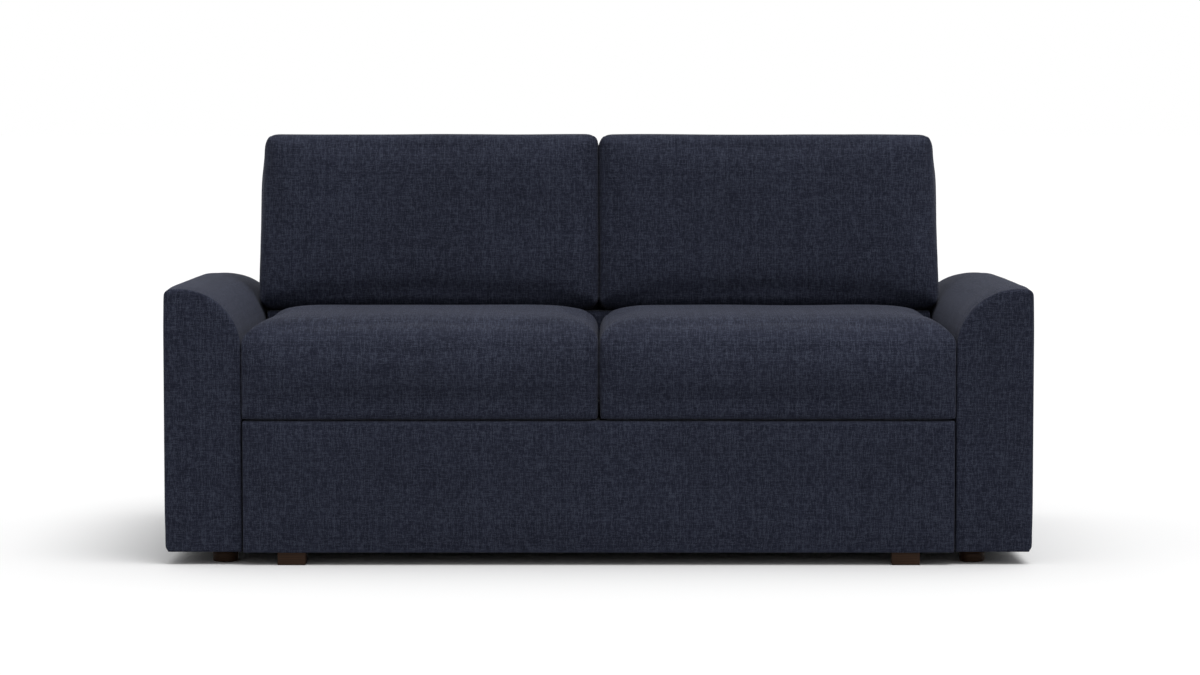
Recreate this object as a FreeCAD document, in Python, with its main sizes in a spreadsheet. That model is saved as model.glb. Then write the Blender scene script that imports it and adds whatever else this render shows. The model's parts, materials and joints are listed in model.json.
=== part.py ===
"""Two-seat sleeper sofa whose bed folds in three under the seat.

Millimetres, +Z up, -Y to the front, origin on the floor at the middle of the sofa.
Left and right are as seen from the front: left is -X.
The front panel, the foot section of the bed and the seat cushions lift and go forward together,
the middle section turns over behind them, and four side links bring the head section up and forward.
"""
import FreeCAD, Part
import math
import os
import re
import Sketcher
from FreeCAD import Placement, Rotation, Vector

doc = FreeCAD.newDocument("SleeperSofa")

# Driving dimensions
SIZES = {
    # whole sofa
    "overall_width": 1829, "overall_depth": 980, "floor_gap": 28,
    # arms
    "arm_width": 161.5, "arm_height": 583, "arm_setback": 20, "arm_roll": 130, "arm_slope": 3,
    "arm_outer_round": 20, "arm_base_round": 12, "arm_edge_round": 10, "arm_pad": 12,
    "arm_board": 18, "arm_board_height": 452, "arm_rail": 45,
    # back and the fixed deck behind the seat
    "back_height": 800, "back_recline": 12, "back_foot_depth": 145, "back_seat_depth": 225.5,
    "back_round": 20, "back_rail": 45, "back_pad": 15, "deck_underside": 330, "deck_top": 505,
    "deck_clearance": 6, "deck_board": 18, "deck_round": 14, "deck_inset": 3, "cleat_height": 28,
    "cleat_depth": 24,
    # base
    "side_rail_height": 130, "side_rail_board": 17, "cross_rail_board": 11, "cross_rail_width": 60,
    "end_cross_width": 44, "front_cross_width": 30, "side_rail_start": 3, "dust_cloth": 1, "dust_inset": 5,
    # feet
    "foot_radius": 27, "foot_setback": 66, "foot_inset": 119.5, "foot_chamfer": 3,
    "block_foot_width": 59, "block_foot_depth": 38, "block_foot_inset": 102, "block_foot_setback": 4,
    # front panel, which is the foot end of the bed
    "panel_setback": 8, "panel_depth": 35, "panel_board": 18, "panel_gap": 3, "panel_round": 9,
    "panel_margin": 14,
    # bed sections
    "bed_floor_gap": 40, "frame_tube": 18, "mattress_depth": 70, "fold_gap": 0.3,
    "frame_side_gap": 43, "mattress_side_gap": 24, "bed_advance": 235, "hinge_to_panel": 10,
    "fold_overhang": 28, "head_clearance": 17, "section_gap": 0.5, "bed_cloth": 2,
    "mattress_round": 12, "angle_end_inset": 181.25,
    # hinges between the sections
    "hinge_plate": 5, "hinge_radius": 9, "hinge_pin": 4, "hinge_frame_gap": 12, "hinge_side_gap": 1,
    "pin_clearance": 0.05,
    # lifting links
    "link_plate": 5, "link_half_width": 11, "link_pin": 5, "link_side_gap": 8,
    "open_pivot_clearance": 0.5, "front_pivot_setback": 57, "rear_pivot_inset": 43.7,
    "bracket_plate": 3, "bracket_height": 36, "bracket_margin": 25,
    # middle leg
    "leg_radius": 6, "leg_shaft_radius": 6.8, "leg_inset": 40, "leg_side_inset": 150, "glide_radius": 6.8,
    "glide_length": 16, "leg_brace_gap": 24,
    # cushions
    "seat_height": 206, "seat_gap": 7.5, "seat_top_round": 62, "seat_nose_round": 72,
    "seat_base_round": 18, "seat_corner": 24, "cushion_gap": 0.5, "cover_cloth": 2,
    "back_cushion_overhang": 10.5, "back_cushion_depth": 195, "back_cushion_height": 410,
    "back_cushion_sink": 18, "back_top_round": 42, "back_base_round": 40, "back_front_round": 34,
    "back_corner": 30, "zip_length": 420, "zip_height": 6,
    # fasteners
    "rail_bolt": 4, "rail_bolt_head": 7, "rail_bolt_head_depth": 4, "panel_bolt": 3,
    "panel_bolt_head": 6, "panel_bolt_length": 14, "foot_bolt": 4, "foot_bolt_length": 48,
    "angle_width": 40, "angle_leg": 36, "angle_foot": 14, "angle_plate": 3,
}

sheet = doc.addObject("Spreadsheet::Sheet", "Sizes")
for row, (alias, value) in enumerate(SIZES.items(), start=1):
    sheet.set(f"A{row}", alias)
    sheet.set(f"B{row}", str(value))
    sheet.setAlias(f"B{row}", alias)
doc.recompute()

# Places worked out from the driving dimensions, as expression text
ARM_INNER = "(overall_width / 2 - arm_width)"
FRONT = "(-overall_depth / 2)"
REAR = "(overall_depth / 2)"
ARM_FRONT = f"({FRONT} + arm_setback)"
PANEL_FRONT = f"({FRONT} + panel_setback)"
PANEL_REAR = f"({PANEL_FRONT} + panel_depth)"
PANEL_HALF = f"({ARM_INNER} - panel_gap)"
BACK_HALF = ARM_INNER

BACK_FOOT_Y = f"({REAR} - back_foot_depth)"
BACK_SEAT_Y = f"({REAR} - back_seat_depth)"
BACK_TOP_Y = f"({BACK_SEAT_Y} + (back_height - deck_top) * tan(back_recline))"
SEAT_REAR = f"({BACK_SEAT_Y} - back_cushion_depth - seat_gap)"
BACK_CUSHION_EDGE = f"({ARM_INNER} + back_cushion_overhang)"

TURN_Y = f"({PANEL_REAR} + hinge_to_panel)"
TURN_Z = "(bed_floor_gap + frame_tube + mattress_depth + fold_gap)"
PITCH = "(frame_tube + mattress_depth + 2 * fold_gap)"
RISE = f"(2 * {PITCH})"
FOLD_Y = f"({SEAT_REAR} + fold_overhang)"
FOLD_Z = f"({TURN_Z} + {PITCH})"
DECK_FRONT = f"({FOLD_Y} + deck_clearance)"
HEAD_REAR = f"({BACK_FOOT_Y} - head_clearance)"
BED_TOP = f"({FOLD_Z} + {PITCH} - fold_gap)"
SEAT_BASE = f"({BED_TOP} + fold_gap)"

HEAD_TUBE_Z = "bed_floor_gap"
MIDDLE_TUBE_Z = f"({FOLD_Z} - fold_gap - frame_tube)"
FOOT_TUBE_Z = f"({FOLD_Z} + fold_gap)"
FRAME_HALF = f"({ARM_INNER} - frame_side_gap)"
MATTRESS_HALF = f"({FRAME_HALF} - mattress_side_gap)"
NEAR_TUBE_Y = f"({TURN_Y} + hinge_frame_gap)"
FAR_TUBE_Y = f"({FOLD_Y} - hinge_frame_gap)"

LINK_LENGTH = f"(({RISE} ^ 2 + bed_advance ^ 2) / (2 * bed_advance))"
LINK_Z = "(bed_floor_gap + frame_tube / 2)"
FRONT_PIVOT_Y = f"({TURN_Y} + front_pivot_setback)"
REAR_PIVOT_Y = f"({HEAD_REAR} - rear_pivot_inset - {LINK_LENGTH})"
LINK_INNER = f"({FRAME_HALF} + link_side_gap)"
RAIL_INNER = f"({ARM_INNER} - side_rail_board)"
BRACKET_INNER = f"({RAIL_INNER} - bracket_plate)"

LEG_PIVOT_Y = f"({FOLD_Y} - leg_inset)"
LEG_PIVOT_Z = f"({MIDDLE_TUBE_Z} + frame_tube / 2)"
LEG_LENGTH = f"({TURN_Z} + {RISE} - ({LEG_PIVOT_Z} - {TURN_Z}))"

subparts = []


def formula(text):
    """Expression text with every driving dimension's name pointing at the sheet."""
    return re.sub(r"[a-z_]+", lambda m: f"Sizes.{m.group()}" if m.group() in SIZES else m.group(), str(text))


def bind(obj, prop, text):
    obj.setExpression(prop, formula(text))


def place(obj, x=0, y=0, z=0):
    for axis, text in (("x", x), ("y", y), ("z", z)):
        bind(obj, f"Placement.Base.{axis}", text)
    return obj


def keep(obj, label):
    """Names a finished piece and puts it on the list of pieces that are written out."""
    obj.Label = label
    subparts.append(obj)
    return obj


def block(name, x, y, z):
    """Box between two places on each axis, each given as a pair of formulas."""
    obj = doc.addObject("Part::Box", name)
    for prop, (low, high) in (("Length", x), ("Width", y), ("Height", z)):
        bind(obj, prop, f"({high}) - ({low})")
    return place(obj, x[0], y[0], z[0])


ALONG = {"X": Rotation(Vector(0, 1, 0), 90), "Y": Rotation(Vector(1, 0, 0), -90), "Z": Rotation()}


def rod(name, radius, length, x, y, z, axis="X"):
    """Round bar that starts at a place and runs towards the plus end of an axis."""
    obj = doc.addObject("Part::Cylinder", name)
    bind(obj, "Radius", radius)
    bind(obj, "Height", length)
    obj.Placement = Placement(Vector(), ALONG[axis])
    return place(obj, x, y, z)


def union(name, shapes):
    obj = doc.addObject("Part::MultiFuse", name)
    obj.Shapes = shapes
    obj.Refine = True
    return obj


def group(name, shapes):
    """Separate solids that share one node."""
    obj = doc.addObject("Part::Compound", name)
    obj.Links = shapes
    return obj


def cut(name, base, tools):
    tool = tools[0] if len(tools) == 1 else group(f"{name}_tools", tools)
    obj = doc.addObject("Part::Cut", name)
    obj.Base = base
    obj.Tool = tool
    return obj


def mirror(obj, name):
    """The same piece on the other side of the sofa."""
    other = doc.addObject("Part::Mirroring", name)
    other.Source = obj
    other.Normal = Vector(1, 0, 0)
    return other


def keep_pair(obj, label):
    """Right-hand piece and its left-hand mirror image, each a node of its own."""
    keep(obj, f"right_{label}")
    keep(mirror(obj, f"left_{label}"), f"left_{label}")


def both(obj, label):
    """Right-hand piece and its mirror image as two solids of one node."""
    return keep(group(label, [obj, mirror(obj, f"{label}_left")]), label)


def rounded(obj, name, radius, chosen):
    """Rounds those edges of a shape that the test picks."""
    doc.recompute()
    size = float(sheet.get(radius))
    edges = [n for n, edge in enumerate(obj.Shape.Edges, start=1) if chosen(edge)]
    fillet = doc.addObject("Part::Fillet", name)
    fillet.Base = obj
    fillet.Edges = [(n, size, size) for n in edges]
    return fillet


def lies_at(axis, place_on_axis):
    """Test for edges that lie in the plane across an axis at a place."""
    def test(edge):
        box = edge.BoundBox
        low, high = getattr(box, f"{axis}Min"), getattr(box, f"{axis}Max")
        return abs(low - place_on_axis) < 1e-4 and abs(high - place_on_axis) < 1e-4
    return test


def spans(axis, length):
    """Test for straight edges that run along an axis for at least a length."""
    def test(edge):
        return getattr(edge.BoundBox, f"{axis}Length") > length - 1e-4
    return test


# Sketched bodies
ORIGIN = (-1, 1)


def sketched_body(name, plane, outline, length):
    """Body padded by the same amount to both sides of one of its origin planes."""
    body = doc.addObject("PartDesign::Body", name)
    sketch = body.newObject("Sketcher::SketchObject", f"{name}_outline")
    face = next(f for f in body.Origin.OriginFeatures if f.Role == plane)
    sketch.AttachmentSupport = (face, [""])
    sketch.MapMode = "FlatFace"
    outline(sketch)
    pad = body.newObject("PartDesign::Pad", f"{name}_pad")
    pad.Profile = sketch
    pad.SideType = "Symmetric"
    bind(pad, "Length", length)
    body.Tip = pad
    doc.recompute()
    return body


def size_constraint(sketch, kind, refs, name, text):
    """Sketch dimension with a name, tied to a formula."""
    index = sketch.addConstraint(Sketcher.Constraint(kind, *refs))
    sketch.renameConstraint(index, name)
    sketch.setExpression(f"Constraints.{name}", formula(text))


def rounded_rectangle(half_width, low, high, radii):
    """Outline between two heights, even about its upright axis. Radii run from the bottom left corner
    anticlockwise, and low and high are how far the outline goes below and above the level axis."""
    def outline(sketch):
        side, rise, r = 100.0, 80.0, 10.0
        corners = [(-side, -rise), (side, -rise), (side, rise), (-side, rise)]
        along = [(1, 0), (0, 1), (-1, 0), (0, -1)]
        lines, arcs = [], []
        for n, (x, y) in enumerate(corners):
            dx, dy = along[n]
            end_x, end_y = corners[(n + 1) % 4]
            start = Vector(x + r * dx, y + r * dy, 0)
            end = Vector(end_x - r * dx, end_y - r * dy, 0)
            lines.append(sketch.addGeometry(Part.LineSegment(start, end)))
        for n, (x, y) in enumerate(corners):
            dx, dy = along[n]
            centre = Vector(x + r * (dx - dy), y + r * (dy + dx), 0)
            begin = math.radians(180 + 90 * n)
            circle = Part.Circle(centre, Vector(0, 0, 1), r)
            arcs.append(sketch.addGeometry(Part.ArcOfCircle(circle, begin, begin + math.pi / 2)))
        for n in range(4):
            sketch.addConstraint(Sketcher.Constraint("Tangent", lines[n - 1], 2, arcs[n], 1))
            sketch.addConstraint(Sketcher.Constraint("Tangent", arcs[n], 2, lines[n], 1))
            sketch.addConstraint(Sketcher.Constraint("Vertical" if n % 2 else "Horizontal", lines[n]))
            size_constraint(sketch, "Radius", (arcs[n], r), f"round_{n}", radii[n])
        bottom, right, top, left = lines
        size_constraint(sketch, "DistanceX", (left, 1, *ORIGIN, side), "left_side", half_width)
        size_constraint(sketch, "DistanceX", (*ORIGIN, right, 1, side), "right_side", half_width)
        size_constraint(sketch, "DistanceY", (bottom, 1, *ORIGIN, rise), "below", low)
        size_constraint(sketch, "DistanceY", (*ORIGIN, top, 1, rise), "above", high)
    return outline


def arm_outline(sketch):
    """Arm seen from the front: flat inner face, a big roll to the top, and a small outer corner.
    The sketch's X starts at the inner face and its Y at the underside."""
    width, height = place_value("arm_width"), place_value("arm_height - floor_gap")
    base, corner, roll_size = (float(sheet.get(n)) for n in ("arm_base_round", "arm_outer_round", "arm_roll"))
    lean = math.radians(90 + float(sheet.get("arm_slope")))
    half_turn, quarter = math.pi, math.pi / 2
    low_middle = Vector(width - base, base, 0)
    high_middle = Vector(width - corner, height - corner * math.sin(lean), 0)
    roll_middle = Vector(roll_size, height - roll_size, 0)
    shape = [
        Part.LineSegment(Vector(base, 0, 0), Vector(width - base, 0, 0)),
        Part.ArcOfCircle(Part.Circle(low_middle, Vector(0, 0, 1), base), -quarter, 0),
        Part.LineSegment(Vector(width, base, 0), Vector(width, high_middle.y, 0)),
        Part.ArcOfCircle(Part.Circle(high_middle, Vector(0, 0, 1), corner), 0, lean),
        Part.LineSegment(Vector(high_middle.x, height, 0), Vector(roll_middle.x, height, 0)),
        Part.ArcOfCircle(Part.Circle(roll_middle, Vector(0, 0, 1), roll_size), lean, half_turn),
        Part.LineSegment(Vector(0, roll_middle.y, 0), Vector(0, 0, 0)),
        Part.LineSegment(Vector(0, 0, 0), Vector(base, 0, 0)),
    ]
    bottom, low_arc, outer, high_arc, top, roll, inner, joint = sketch.addGeometry(shape)
    for first, second in ((bottom, low_arc), (low_arc, outer)):
        sketch.addConstraint(Sketcher.Constraint("Tangent", first, 2, second, 1))
    for first, second in ((outer, high_arc), (high_arc, top), (top, roll), (roll, inner)):
        sketch.addConstraint(Sketcher.Constraint("Tangent", first, 2, second, 1))
    sketch.addConstraint(Sketcher.Constraint("Coincident", inner, 2, joint, 1))
    sketch.addConstraint(Sketcher.Constraint("Coincident", joint, 2, bottom, 1))
    sketch.addConstraint(Sketcher.Constraint("Coincident", inner, 2, *ORIGIN))
    sketch.addConstraint(Sketcher.Constraint("Horizontal", bottom))
    sketch.addConstraint(Sketcher.Constraint("Horizontal", joint))
    sketch.addConstraint(Sketcher.Constraint("Vertical", outer))
    sketch.addConstraint(Sketcher.Constraint("Vertical", inner))
    size_constraint(sketch, "DistanceX", (*ORIGIN, joint, 2, base), "foot_start", "arm_base_round")
    size_constraint(sketch, "DistanceX", (*ORIGIN, outer, 1, width), "width", "arm_width")
    size_constraint(sketch, "DistanceY", (*ORIGIN, high_arc, 2, height), "top", "arm_height - floor_gap")
    size_constraint(sketch, "Radius", (low_arc, base), "base_round", "arm_base_round")
    size_constraint(sketch, "Radius", (high_arc, corner), "outer_round", "arm_outer_round")
    size_constraint(sketch, "Radius", (roll, roll_size), "roll", "arm_roll")
    size_constraint(sketch, "Angle", (top, half_turn + lean - quarter), "slope", "arm_slope + 180")


def polygon(points):
    """Straight-sided outline through points that are pairs of formulas, each a positive distance."""
    def outline(sketch):
        count = len(points)
        start = [Vector(float(place_value(u)), float(place_value(v)), 0) for u, v in points]
        lines = [sketch.addGeometry(Part.LineSegment(start[n], start[(n + 1) % count])) for n in range(count)]
        for n in range(count):
            sketch.addConstraint(Sketcher.Constraint("Coincident", lines[n], 2, lines[(n + 1) % count], 1))
            u, v = points[n]
            across = (*ORIGIN, lines[n], 1, start[n].x)
            upward = (*ORIGIN, lines[n], 1, start[n].y)
            size_constraint(sketch, "DistanceX", across, f"across_{n}", u)
            size_constraint(sketch, "DistanceY", upward, f"up_{n}", v)
    return outline


def place_value(text):
    """A formula's value now, read from the document."""
    value = sheet.evalExpression(formula(text))
    return getattr(value, "Value", value)


# Arms: a wooden frame inside a padded, covered shell
def make_arms():
    body = sketched_body("arm_form", "XZ_Plane", arm_outline, f"{REAR} - {ARM_FRONT}")
    place(body, ARM_INNER, f"({REAR} + {ARM_FRONT}) / 2", "floor_gap")
    form = rounded(body, "arm_rounded", "arm_edge_round", lies_at("Y", place_value(ARM_FRONT)))
    inner = f"{ARM_INNER} + arm_pad"
    outer = f"{inner} + arm_board"
    post_outer = f"{outer} + arm_rail"
    front, rear = f"{ARM_FRONT} + arm_pad", f"{REAR} - arm_pad"
    top = "floor_gap + arm_board_height"
    boards = union("arm_frame_boards", [
        block("arm_panel", (inner, outer), (front, rear), ("floor_gap", top)),
        block("arm_top_rail", (outer, post_outer), (front, rear), (f"{top} - arm_rail", top)),
        block("arm_bottom_rail", (outer, post_outer), (front, rear), ("floor_gap", "floor_gap + arm_rail")),
        block("arm_front_post", (outer, post_outer), (front, f"{front} + arm_rail"), ("floor_gap", top)),
        block("arm_rear_post", (outer, post_outer), (f"{rear} - arm_rail", rear), ("floor_gap", top)),
    ])
    holes = rail_bolt_tools("arm", "rail_bolt + pin_clearance", f"{ARM_INNER} - side_rail_board", outer)
    feet_holes = foot_bolt_tools("arm", "foot_bolt + pin_clearance")
    keep_pair(cut("arm_frame", boards, holes + feet_holes), "arm_frame")
    keep_pair(cut("arm_cover", form, [boards] + holes), "arm_cover")


FOOT_X = "(overall_width / 2 - foot_inset)"
FOOT_YS = (f"({ARM_FRONT} + foot_setback)", f"({REAR} - foot_setback)")
RAIL_BOLT_YS = (f"({ARM_FRONT} + 2 * arm_rail)", "0", f"({REAR} - 2 * arm_rail)")
RAIL_BOLT_Z = "(floor_gap + side_rail_height - arm_rail / 2)"


def rail_bolt_tools(name, radius, start, end):
    return [rod(f"{name}_rail_bolt_{n}", radius, f"({end}) - ({start})", start, y, RAIL_BOLT_Z)
            for n, y in enumerate(RAIL_BOLT_YS)]


def foot_bolt_tools(name, radius):
    return [rod(f"{name}_foot_bolt_{n}", radius, "foot_bolt_length", FOOT_X, y, "floor_gap / 2", "Z")
            for n, y in enumerate(FOOT_YS)]


def make_feet():
    """Four round feet under the arms, each held by a bolt that goes up into the arm's frame."""
    holes = foot_bolt_tools("foot", "foot_bolt + pin_clearance")
    for end, y, hole in zip(("front", "rear"), FOOT_YS, holes):
        peg = rod(f"{end}_foot_peg", "foot_radius", "floor_gap", FOOT_X, y, 0, "Z")
        foot = cut(f"{end}_foot_bored", peg, [hole])
        foot = rounded(foot, f"{end}_foot", "foot_chamfer", lies_at("Z", 0))
        keep(foot, f"{end}_right_foot")
        keep(mirror(foot, f"{end}_left_foot"), f"{end}_left_foot")
    both(group("foot_bolt_side", foot_bolt_tools("bolt", "foot_bolt")), "foot_bolts")


def make_base():
    """Side rails on the arms' inner faces, flat cross rails under the bed, and the dust cloth."""
    start = f"{PANEL_REAR} + side_rail_start"
    bore = rail_bolt_tools("rail", "rail_bolt + pin_clearance", RAIL_INNER, ARM_INNER)
    rail = block("side_rail_board_solid", (RAIL_INNER, ARM_INNER), (start, BACK_FOOT_Y),
                 ("floor_gap", "floor_gap + side_rail_height"))
    keep_pair(cut("side_rail", rail, bore[:2]), "side_rail")
    low, high = "floor_gap", "floor_gap + cross_rail_board"
    front = f"{TURN_Y} + section_gap"
    places = [
        (front, f"{front} + front_cross_width"),
        (f"{REAR_PIVOT_Y} - 2 * cross_rail_width", f"{REAR_PIVOT_Y} - cross_rail_width"),
        (f"{BACK_FOOT_Y} - end_cross_width", BACK_FOOT_Y),
    ]
    wide = (f"-{RAIL_INNER}", RAIL_INNER)
    rails = [block(f"cross_rail_{n}", wide, span, (low, high)) for n, span in enumerate(places)]
    keep(group("cross_rails", rails), "base_cross_rails")
    half = f"{ARM_INNER} - dust_inset"
    cloth = block("dust_cloth_sheet", (f"-({half})", half), (front, f"{REAR} - dust_inset"),
                  ("floor_gap - dust_cloth", "floor_gap"))
    keep(cloth, "dust_cloth")
    long_bolts = rail_bolt_tools("shank", "rail_bolt", RAIL_INNER, f"{ARM_INNER} + arm_pad + arm_board")
    heads = [rod(f"rail_bolt_head_{n}", "rail_bolt_head", "rail_bolt_head_depth",
                 f"{RAIL_INNER} - rail_bolt_head_depth", y, RAIL_BOLT_Z)
             for n, y in enumerate(RAIL_BOLT_YS)]
    bolts = [union(f"rail_bolt_{n}", [s, h]) for n, (s, h) in enumerate(zip(long_bolts, heads))]
    both(group("rail_bolt_side", bolts[:2]), "rail_bolts")


def make_back():
    """Wooden back frame inside the padded back, which leans with the cushions above the seat deck."""
    outline = polygon([
        (BACK_FOOT_Y, "floor_gap"), (REAR, "floor_gap"), (REAR, "back_height"),
        (BACK_TOP_Y, "back_height"), (BACK_SEAT_Y, "deck_top"), (BACK_FOOT_Y, "deck_top"),
    ])
    body = sketched_body("back_form", "YZ_Plane", outline, f"2 * {BACK_HALF}")
    at_top = lies_at("Z", place_value("back_height"))
    long_enough = spans("X", place_value(f"2 * {BACK_HALF}"))
    form = rounded(body, "back_rounded", "back_round", lambda e: at_top(e) and long_enough(e))
    half = f"{BACK_HALF} - back_pad"
    deep = (f"{REAR} - back_pad - back_rail", f"{REAR} - back_pad")
    low, high = "floor_gap", "back_height - back_pad - back_round"
    wide = (f"-({half})", half)
    boards = [
        block("back_top_rail", wide, deep, (f"{high} - back_rail", high)),
        block("back_middle_rail", wide, deep, ("deck_underside", "deck_underside + back_rail")),
        block("back_bottom_rail", wide, deep, (low, f"{low} + back_rail")),
    ]
    for n, share in enumerate(("-1", "-1 / 3", "1 / 3", "1")):
        middle = f"({share}) * ({half} - back_rail / 2)"
        post = (f"{middle} - back_rail / 2", f"{middle} + back_rail / 2")
        boards.append(block(f"back_post_{n}", post, deep, (low, high)))
    frame = keep(union("back_frame", boards), "back_frame")
    keep(cut("back_cover", form, [frame]), "back_cover")


def make_rear_deck():
    """Fixed padded deck behind the seat cushions, on a board that two cleats carry."""
    half = f"{ARM_INNER}"
    wide = (f"-{half}", half)
    pad_box = block("deck_pad", wide, (DECK_FRONT, BACK_FOOT_Y), ("deck_underside", "deck_top"))
    edge = lies_at("Y", place_value(DECK_FRONT))
    long_edge = spans("X", place_value(f"2 * {half}"))
    form = rounded(pad_box, "deck_pad_rounded", "deck_round", lambda e: edge(e) and long_edge(e))
    board = block("deck_board_sheet", wide, (f"{DECK_FRONT} + deck_round", BACK_FOOT_Y),
                  ("deck_underside", "deck_underside + deck_board"))
    keep(board, "rear_deck_board")
    keep(cut("rear_deck_cover", form, [board]), "rear_deck_cover")
    cleat = block("deck_cleat", (f"{ARM_INNER} - cleat_depth", ARM_INNER),
                  (f"{DECK_FRONT} + deck_round", BACK_FOOT_Y),
                  ("deck_underside - cleat_height", "deck_underside"))
    both(cleat, "deck_cleats")


def link_outline(spacing, hinge_side):
    """Flat bar with round ends, from the base pivot rearwards, and its two holes."""
    def outline(sketch):
        half, length = 11.0, 184.0
        quarter = math.pi / 2
        shape = [
            Part.ArcOfCircle(Part.Circle(Vector(0, 0, 0), Vector(0, 0, 1), half), quarter, 3 * quarter),
            Part.LineSegment(Vector(0, -half, 0), Vector(length, -half, 0)),
            Part.ArcOfCircle(Part.Circle(Vector(length, 0, 0), Vector(0, 0, 1), half), -quarter, quarter),
            Part.LineSegment(Vector(length, half, 0), Vector(0, half, 0)),
            Part.Circle(Vector(0, 0, 0), Vector(0, 0, 1), 5),
            Part.Circle(Vector(length, 0, 0), Vector(0, 0, 1), 5),
        ]
        near, low, far, high, base_hole, bed_hole = sketch.addGeometry(shape)
        for first, second in ((near, low), (low, far), (far, high), (high, near)):
            sketch.addConstraint(Sketcher.Constraint("Tangent", first, 2, second, 1))
        sketch.addConstraint(Sketcher.Constraint("Coincident", near, 3, *ORIGIN))
        sketch.addConstraint(Sketcher.Constraint("Coincident", base_hole, 3, *ORIGIN))
        sketch.addConstraint(Sketcher.Constraint("Coincident", bed_hole, 3, far, 3))
        sketch.addConstraint(Sketcher.Constraint("PointOnObject", far, 3, -1))
        size_constraint(sketch, "Radius", (near, half), "half_width", "link_half_width")
        size_constraint(sketch, "DistanceX", (*ORIGIN, far, 3, length), "spacing", spacing)
        size_constraint(sketch, "Radius", (base_hole, 5), "base_hole", "link_pin + pin_clearance")
        size_constraint(sketch, "Radius", (bed_hole, 5), "bed_hole", f"link_pin + {hinge_side}")
    return outline


def make_links():
    """Front and rear lifting links, and the plates and pins that carry them."""
    for end, pivot, clearance in (("front", FRONT_PIVOT_Y, "pin_clearance"),
                                  ("rear", REAR_PIVOT_Y, "open_pivot_clearance")):
        bar = sketched_body(f"{end}_link_bar", "YZ_Plane", link_outline(LINK_LENGTH, clearance), "link_plate")
        place(bar, f"{LINK_INNER} + link_plate / 2", pivot, LINK_Z)
        keep_pair(bar, f"{end}_link")
    pivots = (FRONT_PIVOT_Y, REAR_PIVOT_Y)
    tip = f"{LINK_INNER} - hinge_side_gap"
    base_pins = [rod(f"base_pin_{n}", "link_pin", f"{RAIL_INNER} - ({tip})", tip, y, LINK_Z)
                 for n, y in enumerate(pivots)]
    both(group("base_pin_side", base_pins), "base_pivot_pins")
    bores = [rod(f"bracket_bore_{n}", "link_pin", "bracket_plate", BRACKET_INNER, y, LINK_Z)
             for n, y in enumerate(pivots)]
    low = "floor_gap + cross_rail_board"
    plates = []
    for n, y in enumerate(pivots):
        plates.append(block(f"bracket_{n}", (BRACKET_INNER, RAIL_INNER),
                            (f"{y} - bracket_margin", f"{y} + bracket_margin"),
                            (low, f"{low} + bracket_height")))
    for end, plate, bore in zip(("front", "rear"), plates, bores):
        keep_pair(cut(f"{end}_bracket", plate, [bore]), f"{end}_link_bracket")
    pin_end = f"{LINK_INNER} + link_plate + hinge_side_gap"
    bed_pins = [rod(f"bed_pin_{n}", "link_pin", f"{pin_end} - {FRAME_HALF}", FRAME_HALF,
                    f"{y} + {LINK_LENGTH}", LINK_Z) for n, y in enumerate(pivots)]
    both(group("bed_pin_side", bed_pins), "head_link_pins")


def slat_places(near, far, count):
    """Front faces of slats spread evenly between a frame's end tubes."""
    return [f"{near} + {n} * ({far} - {near} - frame_tube) / {count + 1}" for n in range(1, count + 1)]


def tube_frame(name, near, far, low, slats, slat_height, side_bores=()):
    """Square tubes welded end to end: two sides, two ends, and cross slats that the cloth lies on.
    The slats are given by their front faces and by the two heights they lie between."""
    height = (low, f"{low} + frame_tube")
    inside = f"({FRAME_HALF} - frame_tube)"
    wide = (f"-{inside}", inside)
    sides = [
        block(f"{name}_side_right", (inside, FRAME_HALF), (near, far), height),
        block(f"{name}_side_left", (f"-{FRAME_HALF}", f"-{inside}"), (near, far), height),
    ]
    if side_bores:
        pairs = enumerate(zip(sides, side_bores))
        sides = [cut(f"{name}_side_bored_{n}", side, [bore]) for n, (side, bore) in pairs]
    ends = [
        block(f"{name}_end_near", wide, (near, f"{near} + frame_tube"), height),
        block(f"{name}_end_far", wide, (f"{far} - frame_tube", far), height),
    ]
    for n, y in enumerate(slats):
        ends.append(block(f"{name}_slat_{n}", wide, (y, f"{y} + frame_tube"), slat_height))
    keep(group(f"{name}_tubes", sides + ends), f"{name}_frame")


def bed_cloth(name, near, far, low):
    """Woven cloth that carries the mattress inside a frame's tubes."""
    inside = f"({FRAME_HALF} - frame_tube)"
    return keep(block(f"{name}_sheet", (f"-{inside}", inside), (near, far), (low, f"{low} + bed_cloth")),
                f"{name}_cloth")


def mattress(name, near, far, low):
    wide = (f"-{MATTRESS_HALF}", MATTRESS_HALF)
    body = block(f"{name}_foam", wide, (near, far), (low, f"{low} + mattress_depth"))
    depth = place_value("mattress_depth")
    upright = spans("Z", depth)
    return keep(rounded(body, f"{name}_pad", "mattress_round", upright), f"{name}_mattress")


def hinge_lug(name, start, y, z, low, high, frame_face):
    """Upright plate with a round end about a hinge line, set against a frame's end face."""
    x = (start, f"{start} + hinge_plate")
    plate = block(f"{name}_plate", x, (f"{y} - hinge_radius", frame_face), (low, high))
    eye = rod(f"{name}_eye", "hinge_radius", "hinge_plate", start, y, z)
    bore = rod(f"{name}_bore", "hinge_pin + pin_clearance", "hinge_plate", start, y, z)
    return cut(f"{name}_lug", union(f"{name}_solid", [plate, eye]), [bore])


INNER_LUG = f"({FRAME_HALF} - 2 * hinge_plate - 2 * hinge_side_gap)"
OUTER_LUG = f"({FRAME_HALF} - hinge_plate - hinge_side_gap)"


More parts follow.
